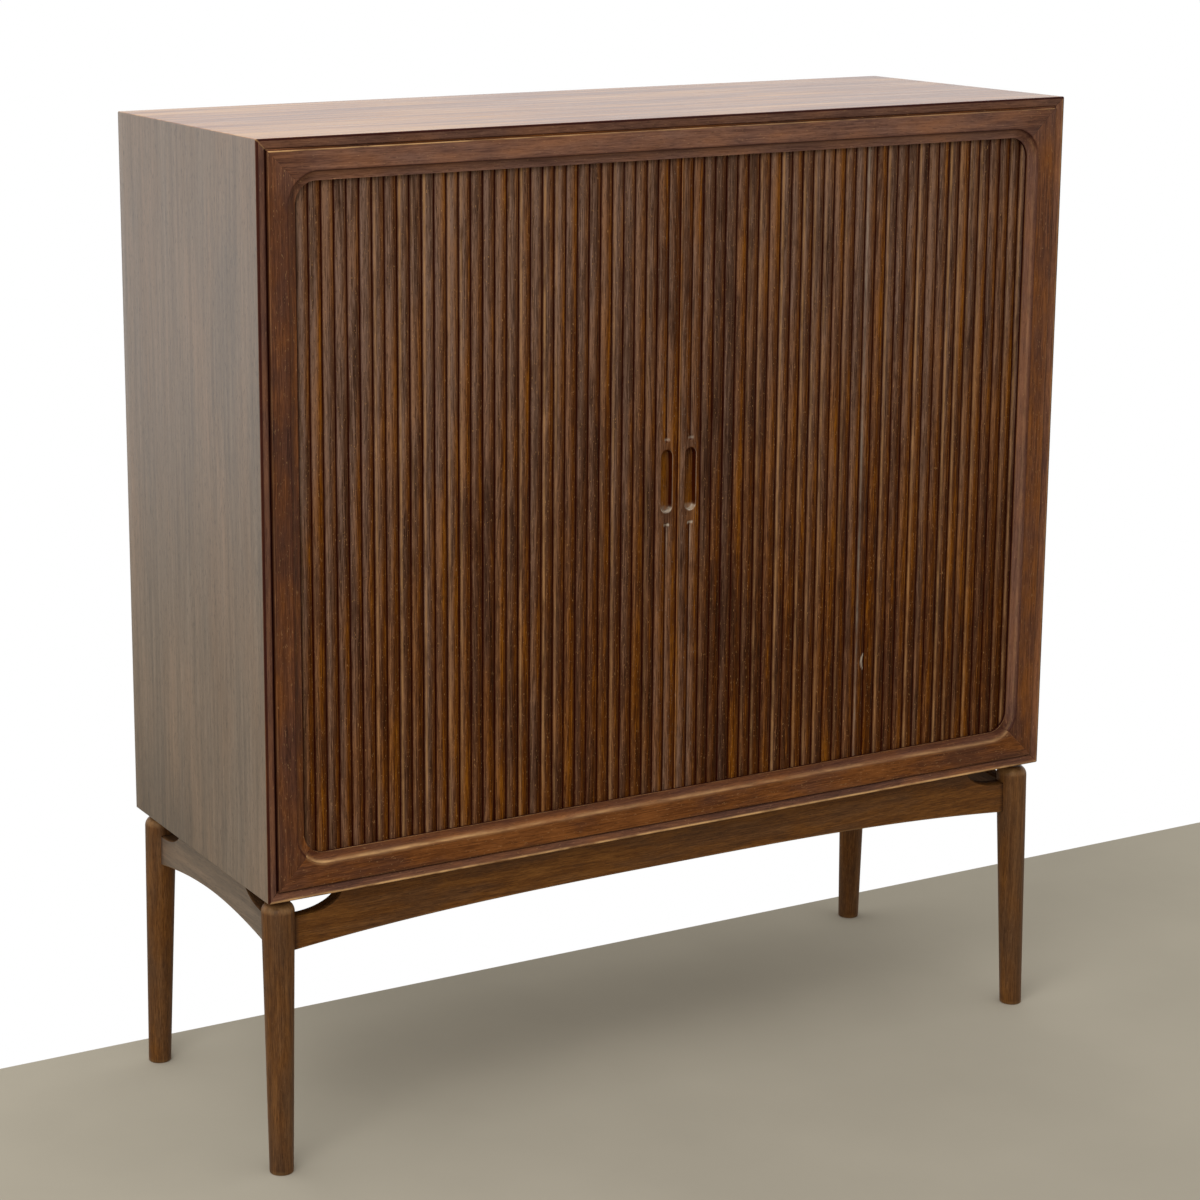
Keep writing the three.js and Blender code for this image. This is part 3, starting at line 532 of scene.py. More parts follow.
front = {
    "setback": 0.3, "tongueInset": 12.3, "back": 12.7,
    "coveInset": 38.8, "coveWidth": 12, "coveDepth": 8, "coveSteps": 10, "coveLip": 0.45,
    "openingRadius": 39, "faceRows": (16, 8, 2.5), "lipRows": (0.25, 1.2, 2.0),
    "cornerSteps": 9, "runSteps": 26, "mitreGap": 0.08, "mitreDip": 0.12, "mitreEase": 0.35,
    "unevenness": 0.05, "cornerTone": 0.53, "cornerWarmth": {"top": 0.4, "bottom": 0.8},
    # how each member is rubbed and stained, and where painted shade and highlight lie on it: top, bottom,
    # left, right.
    # The quirk is the fine gap beside the case. The shine is the middle and width of the painted highlight
    # in the cove, partly a rubbed line, as shares across it.
    "sides": {
        "quirkInset": (14.3, 13, 14.2, 13), "gapDepth": (2.6, 7, 7, 7), "wallDirtAndShade": (0, 0.9, 0.95, 0.7),
        "faceTone": (0.72, 0.6, 0.44, 0.6), "faceWarmth": (0.25, 0.95, 0.7, 0.82),
        "arrisWear": (1, 0.1, 0.1, 0.1), "coveWearAndHighlight": (0, 1, 0.03, 0.12), "covePaintedShade": (0.75, 0.1, 0.8, 0.45),
        "coveSheen": (0.1, 0.3, 0, 0.6),
        "coveShine": ((0.45, 0.09), (0.28, 0.17), (0.45, 0.09), (0.45, 0.09)),
        "lipShade": (0, 0.4, 0, 0), "lipWear": (0, 0.7, 0, 0.2),
    },
}
frameFace = caseFront + front["setback"]
frameBack = caseFront + front["back"]
cornerInset = front["coveInset"] + front["openingRadius"]
lipRadius = front["openingRadius"] - front["coveWidth"]


# Zones of a frame member from its hidden outer edge to the lip of the opening. The outer ones lie
# at an inset from the case's outside, the inner ones at a radius about the corner's centre.
def memberZones(side):
    look = lookOf(front["sides"], side)
    tone, warmth, arris, cove = look["faceTone"], look["faceWarmth"], look["arrisWear"], look["coveWearAndHighlight"]
    shadow, wall, gap, worn = look["covePaintedShade"], look["wallDirtAndShade"], look["gapDepth"], look["lipWear"]
    quirk, inset = look["quirkInset"], front["tongueInset"]
    # the quirk's walls are dark with dirt and painted shade; the arris is pale with wear, and on the top
    # member with a painted highlight too
    straight = [
        (inset, frameBack, 0, 1, 0.4, 1), (inset, frameFace + gap, 0, wall, 0.4, 1),
        (quirk, frameFace + gap, 0, wall, 0.4, 1),
        (quirk + 0.05, frameFace + 0.8 * gap, 0.3 * arris * (1 - wall), wall, 0.4, 1),
        (quirk + 0.15, frameFace + 0.5, arris, 0.3 * wall, 0.5, warmth),
        (quirk + 0.5, frameFace + 0.14, arris, 0, 0.5, warmth),
        (quirk + 0.9, frameFace, 0.8 * arris, 0, 0.5, warmth), (quirk + 1.7, frameFace, 0, 0, tone, warmth)]
    outer = front["openingRadius"]
    curved = [(outer + row, frameFace, 0, 0, tone, warmth) for row in front["faceRows"]]
    # in the cove: painted shade near the face, a painted highlight that is partly a rubbed line, painted
    # sheen that makes it lighter and cooler, and painted shade towards the lip at the bottom
    curved += [(outer + 0.9, frameFace, 0.15 * cove, 0.3 * shadow, tone, warmth),
               (outer + 0.15, frameFace + 0.15, 0.3 * cove, shadow, tone, warmth)]
    for share in spread(0, 1, front["coveSteps"] + 1):
        angle = math.pi / 2 * share
        y = frameFace + max(front["coveDepth"] * math.sin(angle), front["coveLip"])
        dark = shadow * (1 - smooth(share, 0.05, 0.5)) + look["lipShade"] * smooth(share, 0.5, 0.75)
        curved.append((outer - front["coveWidth"] * (1 - math.cos(angle)), y,
                       cove * bell(share, *look["coveShine"]), dark,
                       tone + 0.02 + 0.12 * look["coveSheen"], warmth - look["coveSheen"]))
    lip = [frameFace + front["coveDepth"] + row for row in front["lipRows"]]
    curved += [
        (lipRadius - 0.02, lip[0], worn, 0.2 * (1 - worn), tone, warmth),
        (lipRadius - 0.05, lip[1], worn, 0.6 * (1 - worn), tone, 1),
        (lipRadius - 0.05, lip[2], 0, 1, tone, 1), (lipRadius - 0.05, frameBack, 0, 1, tone, 1)]
    return straight, curved


def addMember(shell, side):
    upright, halfLength, reach, sign = sideReach(side)
    straight, curved = memberZones(side)
    zones = straight + curved
    centreAlong, centreOut = halfLength - cornerInset, reach - cornerInset
    flat = wander()

    # One ruling across the member: from a place along it, in a direction away from the corner's centre.
    def ruling(base, angle, shift=0.0, dip=0.0):
        lean, rise = math.cos(angle), math.sin(angle)
        distances = [(cornerInset - inset) / rise for inset, *_ in straight]
        distances += [radius for radius, *_ in curved]
        ring = []
        for distance, (_, y, *_) in zip(distances, zones):
            along = base + distance * lean - shift
            onFace = y < frameFace + front["coveDepth"] + 0.1
            uneven = front["unevenness"] * flat(along) * (abs(y - frameFace) < 0.01)
            y = max(y + dip * onFace + uneven, frameFace)
            ring.append(sidePoint(upright, along, sign * (centreOut + distance * rise), y))
        return ring

    def mirrored(ring):
        return [(x, y, 2 * caseMiddle - z) if upright else (-x, y, z) for x, y, z in ring]

    steps = front["cornerSteps"]
    angles = spread(math.pi / 4, math.pi / 2, steps + 1)
    gap = front["mitreGap"]
    end = [ruling(centreAlong, angles[0], gap, front["mitreDip"]),
           ruling(centreAlong, angles[0], gap + front["mitreEase"])]
    end += [ruling(centreAlong, angle) for angle in angles[1:]]
    run = [ruling(along, math.pi / 2)
           for along in spread(centreAlong, -centreAlong, front["runSteps"])[1:-1]]
    rings = end + run + [mirrored(ring) for ring in reversed(end)]
    marks = []
    for index in range(len(rings)):
        fromEnd = min(index, len(rings) - 1 - index)
        turn = 1 - smooth(fromEnd, 1, steps + 4)
        # the top and bottom members' rubbed and painted highlight lines are brightest towards the left
        rub = 1 if upright else lerp(0.45, 1, smooth(index / (len(rings) - 1), 0.45, 0.9))
        # and a painted shine where the top left corner sticks out
        rub *= fromEnd > 0 or side == "top" and index > 1
        atTop = side == "top" or upright and index < len(rings) / 2
        corner = front["cornerWarmth"]["top" if atTop else "bottom"]
        marks.append([(wear * rub, max(dirt, 0.1 * (fromEnd == 0)), lerp(tone, front["cornerTone"], turn),
                       lerp(warmth, corner, turn)) for _, _, wear, dirt, tone, warmth in zones])
    addLoft(shell, rings, marks, grainAlong("z" if upright else "x"))


for side in sides:
    shell = newShell()
    addMember(shell, side)
    makePiece(shell, f"front_frame_{side}_member", "carcass", [frameWalnut],
              [f"front_frame_{side}"], sharp=32)
print("front frame made")


slat = {
    "pitch": 16.2, "gap": 0.3, "thickness": 9, "rise": 3, "power": 3.1, "low": 364, "high": 1234,
    "crest": caseFront + 13.3, "turnX": 525.5, "turnRadius": 27, "canvas": 1.2, "backEase": 0.3,
    "sideDrop": 0.6, "stations": 25, "frontPoints": 17, "bunching": 0.35, "narrowing": 0.985, "foot": 5,
    "sway": 0.18, "lean": 0.06, "uneven": 0.09, "leastDrop": 0.02, "endDrop": 0.5,
    "perStrip": 6, "strips": 5, "tail": 3, "keep": 0.068,
    "toneSpread": 0.06, "warmthSpread": 0.13, "rub": 0.8, "endRub": 0.5, "swellTone": 0.05,
    # the slats are painted with sheen: lighter and cooler higher up, darker and warmer lower down
    "heightSpan": (480, 1150), "heightSheenTone": 0.2, "heightSheenWarmth": -0.6,
    # the change of tone and warmth along the front: a bell about the middle, then amounts over spans of x
    "middle": (30, 220), "middleTone": 0.12, "middleWarmth": 0.06, "warmth": 0.66,
    "toneLeft": (0.04, 150, 500), "toneRight": (-0.08, 350, 520),
    "warmthLeft": (-0.1, 150, 500), "warmthRight": (0.12, 0, 500),
    "chippedSlat": ("right_slats_3", 3), "chip": (514, 517, 520, 526, 532, 535, 538),
    "chipLength": 9, "chipBend": 0.35, "chipSpan": (0.1, 0.5),
}
doors = {
    "left": {"sign": -1, "bead": 3.6, "anchor": -34.55},
    "right": {"sign": 1, "bead": 0, "anchor": 30.95},
}
stile = {
    "width": 30.8, "thickness": 17, "seam": 0.15, "tongue": 4, "tongueReach": 6, "quirk": 0.8,
    "quirkDepth": 1.6, "innerRise": 1.1, "sway": 0.1, "beadRise": 0.75, "beadPower": 2.6,
    "pullWidth": 16, "pullLength": 79, "pullDepth": 9, "pullRim": 0.8, "pullFillet": 2.4,
    "pullFloorEase": 1.8, "pullMiddle": 0.25, "stopAbove": 10, "stopBelow": 13,
    "nose": 6, "noseBend": 2.5, "vein": 1.6, "veinHalf": 0.3,
    "patchHalf": 9.7, "patchAbove": 6.5, "patchBelow": 7.5, "patchRows": 27,
    "flankPoints": 8, "fineColumns": (8.6, 0.35, 1.3, 1.9), "edgeColumns": (0.6, 1.3, 2),
    # stops of the rows up a stile, beyond the pull, and how many rows lie between two of them
    "stopsBelow": (45, 40, 24, 22), "stopsAbove": (20, 23, 45, 60), "rowCounts": (14, 4, 12),
    # where hands and dirt mark it, and where highlights and shade are painted: a pair is the middle and
    # width of a mark, or the ends of a span
    "landTone": 0.58, "warmth": 0.74, "crescent": (3, 1.5), "crescentMargin": 3.5, "crescentAbove": 0.35,
    "line": (1.3, 0.5), "lineStart": (4, 8), "lineFade": (10, 60), "lineLeast": 0.08, "lineMore": 0.4,
    "fluteDirtAndShade": (-0.3, 0.9), "dirt": 0.95, "beadSideDirt": 0.5, "seamDirtWidth": 0.6,
    "litEdge": (1.3, 0.5), "litWear": 0.1, "litTone": 0.95,
    # parts of the pull, as shares of its half width and as heights from its middle
    "pullRight": (0.3, 0.85), "pullTop": (30, 38), "pullBottom": (31.5, 35),
}
# Marks across a slat or a reed: spans and places are shares of half its width, from -1 at the left root
reed = {"leftRoot": (0.85, 0.97), "rightRoot": (0.67, 0.9), "rootDirtAndShade": 0.95, "span": (-0.6, 0.8),
        "tone": (0.15, -0.05), "warmth": (-0.45, 0.45), "rubbedLine": (-0.7, 0.14)}
stileReach = stile["width"] / 2
reedHalf = stile["width"] / 4
pullLow = caseMiddle - stile["pullLength"] / 2
pullHigh = caseMiddle + stile["pullLength"] / 2


# Across a reed, painted sheen makes the left flank lighter and cooler and painted shade the right flank
# darker and warmer; the roots are dark with dust and painted shade.
def reedMark(u, tone, warmth, rub=0.0):
    root = max(smooth(-u, *reed["leftRoot"]), smooth(u, *reed["rightRoot"]))
    share = smooth(u, *reed["span"])
    tone += lerp(*reed["tone"], share)
    warmth = min(max(warmth + lerp(*reed["warmth"], share), 0), 1)
    return rub * bell(u, *reed["rubbedLine"]), reed["rootDirtAndShade"] * root, tone, warmth


# A splinter is gone from one slat, over a few rows of points: its outline is bent at both ends.
def isChipped(u, z, chip):
    if z not in chip[1:-1]:
        return False
    least, most = slat["chipSpan"]
    return least < u - slat["chipBend"] * ((z - chip[3]) / slat["chipLength"]) ** 2 < most


# One slat about its own middle, as rings from the bottom up: x across, y from the crest backwards.
def slatRings(warmth, shade, chip=()):
    half = (slat["pitch"] - slat["gap"]) / 2
    widths = [lerp(u, math.sin(math.pi / 2 * u), slat["bunching"])
              for u in spread(-1, 1, slat["frontPoints"])]
    tone = 0.5 + shade + seeded.gauss(0, slat["toneSpread"])
    warmth += seeded.gauss(0, slat["warmthSpread"])
    lean = seeded.uniform(-slat["lean"], slat["lean"])
    rub = slat["rub"] * seeded.random() ** 3
    sway, swell = wander(), wander()
    heights = [*spread(slat["low"], slat["high"], slat["stations"]), slat["low"] + slat["foot"], *chip]
    flank, back = slat["rise"] + slat["sideDrop"], slat["thickness"] - slat["backEase"]
    rings, marks = [], []
    for z in [slat["low"], *sorted(heights), slat["high"]]:
        atEnd = len(rings) in (0, len(heights) + 1)
        rubbedEnd = slat["endRub"] * (z < slat["low"] + 1)
        high = smooth(z, *slat["heightSpan"]) - 0.5
        ring, ringMarks = [], []
        for u in widths:
            crown = 1 - u * u
            drop = slat["rise"] * abs(u) ** slat["power"] + lean * u
            drop += slat["uneven"] * (1 + swell(z)) * crown
            drop = max(drop, slat["leastDrop"]) + slat["endDrop"] * atEnd
            ring.append((half * u * slat["narrowing"] + slat["sway"] * sway(z) * crown, drop, z))
            shaded = tone + slat["swellTone"] * swell(z * 0.7) + slat["heightSheenTone"] * high
            wear, *rest = reedMark(u, shaded, warmth + slat["heightSheenWarmth"] * high, rub)
            ringMarks.append((1, 0, 0.5, 0.5) if isChipped(u, z, chip) else (max(wear, rubbedEnd), *rest))
        rings.append(ring + [(half, flank, z), (half, back, z), (-half, back, z), (-half, flank, z)])
        # the slat's sides in the gaps and its back are painted dark as shade
        marks.append(ringMarks + [(0, 1, tone, 1)] * 4)
    return rings, marks


# Place of a slat on the groove's centre line, at a distance out from the middle of the front
def trackPlace(distance, sign):
    radius, turnX = slat["turnRadius"], slat["turnX"]
    angle = min(max((distance - turnX) / radius, 0), math.pi / 2)
    beyond = max(distance - turnX - radius * math.pi / 2, 0)
    x = min(distance, turnX) + radius * math.sin(angle)
    y = case["trackY"] + radius * (1 - math.cos(angle)) + beyond

    def place(point):
        beside, depth, z = point
        back = depth + slat["crest"] - case["trackY"]
        turnedX = beside * sign * math.cos(angle) - back * math.sin(angle)
        turnedY = beside * sign * math.sin(angle) + back * math.cos(angle)
        return (sign * (x + turnedX), y + turnedY, z)

    return place


def addSlat(shell, side, distance, warmth, shade, chip=()):
    place = trackPlace(distance, doors[side]["sign"])
    rings, marks = slatRings(warmth, shade, chip)
    half, near = slat["pitch"] / 2 - 0.02, slat["thickness"] - slat["backEase"]
    far = near + slat["canvas"]
    cloth = [[(-half, near, z), (half, near, z), (half, far, z), (-half, far, z)]
             for z in (slat["low"], slat["high"])]
    skins = ((rings, marks, 2 if chip else 0), (cloth, (0, 0, 0.5, 0.5), 1))
    for skin, skinMarks, slot in skins:
        addLoft(shell, [[place(point) for point in ring] for ring in skin], skinMarks, grainAlong("z"), slot)


# An amount that comes in smoothly over a span
def fade(value, amount, low, high):
    return amount * smooth(value, low, high)


def addStrip(side, name, node, start, count):
    shell = newShell()
    for i in range(count):
        distance = start + (i + 0.5) * slat["pitch"]
        x = doors[side]["sign"] * distance
        central = bell(x, *slat["middle"])
        shade = fade(-x, *slat["toneLeft"]) + fade(x, *slat["toneRight"]) - slat["middleTone"] * central
        warmth = slat["warmth"] + fade(x, *slat["warmthRight"]) + fade(-x, *slat["warmthLeft"])
        warmth += slat["middleWarmth"] * central
        chip = slat["chip"] if (name, i) == slat["chippedSlat"] else ()
        addSlat(shell, side, distance, warmth, shade, chip)
    finishes = [slatWalnut, canvas, stileWalnut]
    piece = makePiece(shell, name, f"{side}_door", finishes, [node], sharp=45)
    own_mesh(piece)


for side in doors:
    start = stile["seam"] + doors[side]["bead"] + stile["width"] + case["fitGap"]
    width = slat["perStrip"] * slat["pitch"]
    for i in range(slat["strips"]):
        name, node = f"{side}_slats_{i + 1}", f"{side}_slat_strip_{i + 1}"
        addStrip(side, name, node, start + i * width, slat["perStrip"])
    addStrip(side, f"{side}_slats_tail", f"{side}_slat_tail", start + slat["strips"] * width, slat["tail"])
print("slats made")


# How far a height lies past the plain land round the pull, where the flute starts
def pastPull(z):
    return max(pullLow - stile["stopBelow"] - z, z - pullHigh - stile["stopAbove"])


# Drop of a lead stile's front below its crest. t is the distance from the stile's middle, outwards.
def stileDrop(side, t, z):
    if abs(t) > reedHalf:
        rise = stile["innerRise"] if side == "left" and t < 0 else slat["rise"]
        return rise * min((abs(t) - reedHalf) / reedHalf, 1) ** slat["power"]
    into = pastPull(z) - stile["noseBend"] * (t / reedHalf) ** 2
    share = min(max(into / stile["nose"], 0), 1)
    full = math.sqrt(1 - (1 - share) ** 2)
    vein = stile["vein"] * smooth(share, 0.3, 0.8) * (abs(t) < stile["veinHalf"])
    return slat["rise"] * full * ((reedHalf - abs(t)) / reedHalf) ** slat["power"] + vein


def stileMark(side, t, z):
    inFlute = abs(t) < reedHalf
    if inFlute and stileDrop(side, t, z) <= 0.02:
        return (0, 0, stile["landTone"], 0.5)
    x = t * doors[side]["sign"]
    u = (t + (reedHalf if t < 0 else -reedHalf)) / reedHalf * doors[side]["sign"]
    _, dirt, tone, warmth = reedMark(u, 0.5, stile["warmth"])
    if side == "left" and t < -reedHalf:
        dirt *= stile["beadSideDirt"]
    # pale crescents where the flute runs out below and above the pull: wear and a painted highlight,
    # brighter below the pull
    gap = pastPull(z)
    nose = bell(gap, *stile["crescent"]) * (abs(t) < reedHalf - stile["crescentMargin"])
    wear = nose * (1.0 if z < caseMiddle else stile["crescentAbove"])
    # a pale line along the right of the flute, fading out over a hand's width below the pull
    line = bell(x, *stile["line"]) * smooth(gap, *stile["lineStart"])
    line *= stile["lineLeast"] + stile["lineMore"] * (z < caseMiddle) * (1 - smooth(gap, *stile["lineFade"]))
    # the flute's groove is dark with dirt and painted shade
    if inFlute:
        middle, width = stile["fluteDirtAndShade"]
        dirt = max(dirt, stile["dirt"] * math.exp(-((x - middle) / width) ** 4))
    if side == "right":
        rim = t + stileReach
        dirt = stile["dirt"] if rim < stile["seamDirtWidth"] else dirt
        lit = bell(rim, *stile["litEdge"])
        wear = max(wear, stile["litWear"] * lit)
        tone, warmth = lerp(tone, stile["litTone"], lit), lerp(warmth, 1, lit)
    return (max(wear, line), dirt * (1 - nose) * (1 - line), tone, warmth)


# Points round the pull at an offset from its outline, one for each point of a boundary round it
def capsuleRing(offset, boundary):
    radius = stile["pullWidth"] / 2
    straight = stile["pullLength"] / 2 - radius
    ring = []
    for t, height in boundary:
        if abs(height) <= straight:
            ring.append((math.copysign(radius + offset, t), height))
            continue
        centre = math.copysign(straight, height)
        away = math.hypot(t, height - centre)
        ring.append((t / away * (radius + offset), centre + (height - centre) / away * (radius + offset)))
    return ring


# How the pull's rim and recess look: where they are rubbed and lit, with a painted highlight at the bottom,
# where they are dirty and shaded, with painted shade on the right wall and at the top, and their tone.
# Four shares are for the left, right, top and bottom. A row holds up to its count of rings.
rimLook = ((0, 0.12, 0, 0.3), (0, 0, 0.2, 0), 0.5)
recessLooks = (
    (3, (0, 0.2, 0, 0.85), (0, 0, 0.5, 0), 0.5),
    (7, (0, 0, 0, 1), (0.1, 0.9, 0.9, 0), 0.6),
    (99, (0, 0, 0, 0.4), (0, 0.4, 0.5, 0.3), 0.8),
)


def addPull(shell, side, middle, boundary, grain):
    sign = doors[side]["sign"]
    radius, depth = stile["pullWidth"] / 2, stile["pullDepth"]
    rim, fillet = stile["pullRim"], stile["pullFillet"]

    def mark(t, height, worn, dark, tone):
        right = smooth(t * sign, *[share * radius for share in stile["pullRight"]])
        shares = (1 - right, right, smooth(height, *stile["pullTop"]), smooth(-height, *stile["pullBottom"]))
        wear = max(a * b for a, b in zip(worn, shares))
        return (wear, max(a * b for a, b in zip(dark, shares)) * (1 - wear), tone, 0.9)

    def place(t, height, deep):
        return (sign * (middle + t), slat["crest"] + deep, caseMiddle + height)

    rings, marks = [], []
    for share in (0, 0.5, 0.85, 1):
        ring = [(lerp(a[0], b[0], share), lerp(a[1], b[1], share))
                for a, b in zip(boundary, capsuleRing(rim, boundary))]
        rings.append([place(t, h, stileDrop(side, t, caseMiddle + h)) for t, h in ring])
        marks.append([mark(t, h, *rimLook) if share == 1 else stileMark(side, t, caseMiddle + h)
                      for t, h in ring])
    turns = (0.4, 0.8, 1.2)
    section = [(rim * (1 - math.sin(a)), rim * (1 - math.cos(a))) for a in (*turns, math.pi / 2)]
    section += [(-0.1, 0.35 * depth), (-0.2, depth - fillet)]
    section += [(-0.2 - fillet * (1 - math.cos(a)), depth - fillet * (1 - math.sin(a)))
                for a in (*turns, 1.57)]
    section += [(-0.2 - fillet - stile["pullFloorEase"], depth), (stile["pullMiddle"] - radius, depth)]
    for index, (offset, deep) in enumerate(section):
        ring = capsuleRing(offset, boundary)
        look = next(row[1:] for row in recessLooks if index < row[0])
        rings.append([place(t, h, min(deep + (stileDrop(side, t, caseMiddle + h) if deep < 1 else 0), depth))
                      for t, h in ring])
        marks.append([mark(t, h, *look) for t, h in ring])
    addLoft(shell, rings, marks, grain, caps=("end",))


# Columns across a lead stile, as (distance from its middle, drop), where no drop means the stile's own
def stileColumns(bead):
    flank = [math.sin(math.pi / 2 * share) for share in spread(0, 1, stile["flankPoints"])]
    half = [place for f in flank for place in (reedHalf * f, stileReach - reedHalf * (1 - f))]
    half += [stile["patchHalf"], *stile["fineColumns"]]
    places = half + [-place for place in half] + [place - stileReach for place in stile["edgeColumns"]]
    columns = [(t, None) for t in sorted({round(place, 4) for place in places})]
    if bead:
        corner = -stileReach - stile["quirk"]
        turned = [(-stileReach - 0.02, stile["quirkDepth"]), (corner, stile["quirkDepth"])]
        for u in spread(0.96, -1, 9):
            drop = 0.05 + stile["beadRise"] * abs(u) ** stile["beadPower"]
            turned.append((corner - (bead - stile["quirk"]) * (1 - u) / 2, drop))
        columns = turned[::-1] + columns
    return columns


def makeStile(side):
    sign, bead = doors[side]["sign"], doors[side]["bead"]
    middle = stile["seam"] + bead + stileReach
    columns = stileColumns(bead)
    patchLow, patchHigh = pullLow - stile["patchBelow"], pullHigh + stile["patchAbove"]
    patchRows = spread(patchLow, patchHigh, stile["patchRows"])
    many, few, near = stile["rowCounts"]
    first, second, third, fourth = [pullLow - stop for stop in stile["stopsBelow"]]
    heights = spread(slat["low"], first, many) + spread(second, third, few) + spread(fourth, patchLow, near)
    first, second, third, fourth = [pullHigh + stop for stop in stile["stopsAbove"]]
    heights += patchRows[1:-1] + spread(patchHigh, first, near)
    heights += spread(second, third, few) + spread(fourth, slat["high"], many)
    sway = wander()
    grain = grainAlong("z")
    rings, marks = [], []
    for z in heights:
        uneven = stile["sway"] * (1 + sway(z)) * smooth(abs(z - caseMiddle), 60, 140)
        ring, ringMarks = [], []
        for t, drop in columns:
            if drop is None:
                depth = stileDrop(side, t, z) + uneven * (abs(t) < stileReach - 0.5)
                ringMarks.append(stileMark(side, t, z))
            else:
                depth, crest = drop, bell(drop, 0.05, 0.2)
                ringMarks.append((0.1 * crest, 0.95 * (drop > 0.6), 0.5 + 0.45 * crest, 1))
            ring.append((sign * (middle + t), slat["crest"] + depth, z))
        for t, _ in (columns[-1], columns[0]):
            ring.append((sign * (middle + t), slat["crest"] + stile["thickness"], z))
            ringMarks.append((0, 1, 0.4, 1))
        rings.append(ring)
        marks.append(ringMarks)
    places = [t for t, _ in columns]
    holeLow, holeHigh = places.index(-stile["patchHalf"]), places.index(stile["patchHalf"])

    def atPull(row, place):
        inside = patchLow - 0.01 <= heights[row] and heights[row + 1] <= patchHigh + 0.01
        return inside and holeLow <= place < holeHigh

    shell = newShell()
    addLoft(shell, rings, marks, grain, isOpen=atPull)
    edge = places[holeLow:holeHigh + 1]
    boundary = [(t, patchLow - caseMiddle) for t in edge]
    boundary += [(stile["patchHalf"], z - caseMiddle) for z in patchRows[1:]]
    boundary += [(t, patchHigh - caseMiddle) for t in edge[-2::-1]]
    boundary += [(-stile["patchHalf"], z - caseMiddle) for z in patchRows[-2:0:-1]]
    addPull(shell, side, middle, boundary, grain)
    # tongues above and below, which run in the grooves
    x0, x1 = sorted((sign * stile["seam"], sign * (middle + stileReach)))
    y0, y1 = case["trackY"] - stile["tongue"] / 2, case["trackY"] + stile["tongue"] / 2
    for low, high in ((slat["low"] - stile["tongueReach"] - 1, slat["low"] + 1),
                      (slat["high"] - 1, slat["high"] + stile["tongueReach"] + 1)):
        tongue = []
        for z, ease in ((low, 0.5), (low + 0.5, 0), (high - 0.5, 0), (high, 0.5)):
            tongue.append([(x0 + ease, y0 + ease, z), (x1 - ease, y0 + ease, z),
                           (x1 - ease, y1 - ease, z), (x0 + ease, y1 - ease, z)])
        addLoft(shell, tongue, (0, 0.3, 0.5, 0.6), grain)
    makePiece(shell, f"{side}_lead_stile_pull", f"{side}_door", [stileWalnut],
              [f"{side}_lead_stile"], sharp=40, weld=True)


for side in doors:
    makeStile(side)
print("lead stiles made")


leg = {
    "topRadius": 20.5, "footRadius": 14.75, "height": 341, "crown": 12, "footX": 557, "footY": 190.8,
    "topX": 551.5, "topY": 180, "points": 48, "stations": 22, "footArris": 1.2, "crownSteps": 8,
    "uneven": 0.08, "toneSpread": 0.02, "warmth": 0.72, "crownGlint": 0.45,
    "scuff": 0.25, "scuffReach": 12, "topDirt": 0.12,
}
rail = {
    "thickness": 18, "middle": 52, "end": 72, "scoopLength": 58, "scoopFlat": 4, "scoopDepth": 28,
    "round": 1.6, "tenonStop": 8.5, "scoopSteps": 18, "bow": 0.04, "arrisWear": 0.35, "edgeWear": 0.12,
    "legDarkening": 0.85, "legDarkeningReach": 1.6, "caseDarkening": 0.5, "caseDarkeningReach": 4, "scoopShade": 0.35,
    "faceRows": (0.05, 0.33, 0.67, 0.95), "backRows": (0.33, 0.67),
    # the long rails run along the front and back, the short ones along the sides
    "long": {"axis": "x", "half": leg["topX"], "face": 187.5, "power": 2.9, "stations": 60,
             "tone": 0.54, "warmth": 1},
    "short": {"axis": "y", "half": leg["topY"], "face": 559, "power": 1.9, "stations": 20,
              "tone": 0.4, "warmth": 0.35},
}


# Centre of a leg at a height: the legs splay towards the floor
def legAxis(sideX, sideY, z):
    share = z / case["bottom"]
    return sideX * lerp(leg["footX"], leg["topX"], share), sideY * lerp(leg["footY"], leg["topY"], share)


def legRadius(z):
    return lerp(leg["footRadius"], leg["topRadius"], z / leg["height"])


# Points round a circle about a centre, at a place along an axis
def circle(axis, centre, radius, along, count):
    angles = [2 * math.pi * i / count for i in range(count)]
    return [across(axis, centre[0] + radius * math.cos(angle), centre[1] + radius * math.sin(angle), along)
            for angle in angles]


def makeLeg(name, sideX, sideY):
    foot, arris, crown = leg["footRadius"], leg["footArris"], leg["crown"]
    shoulder = leg["height"] - crown
    outline = [(foot - arris, 0, 0.5), (foot - 0.3, arris * 0.4, 0.5), (foot, arris, 0.3)]
    outline += [(legRadius(z), z, 0) for z in spread(6, shoulder - 6, leg["stations"])]
    # a painted glint round the shoulder of the crown
    for share in spread(0, 1, leg["crownSteps"] + 1):
        angle = math.pi / 2 * share
        outline.append((legRadius(shoulder) - crown * (1 - math.cos(angle)),
                        shoulder + crown * math.sin(angle), leg["crownGlint"] * math.sin(math.pi * share)))
    outline.append((2.0, leg["height"], 0))
    swell = wander()
    tone = 0.5 + seeded.uniform(-leg["toneSpread"], leg["toneSpread"])
    rings, marks = [], []
    for radius, z, wear in outline:
        radius += leg["uneven"] * (swell(z) - 1)
        rings.append(circle("z", legAxis(sideX, sideY, z), radius, z, leg["points"]))
        dirt = leg["scuff"] * math.exp(-z / leg["scuffReach"]) + leg["topDirt"] * (z > leg["height"] - 2)
        marks.append([(wear, dirt, tone, leg["warmth"])] * leg["points"])
    shell = newShell()
    addLoft(shell, rings, marks, grainAlong("z"))
    makePiece(shell, f"{name}_leg_turned", "carcass", [legWalnut], [f"{name}_leg"], sharp=40)


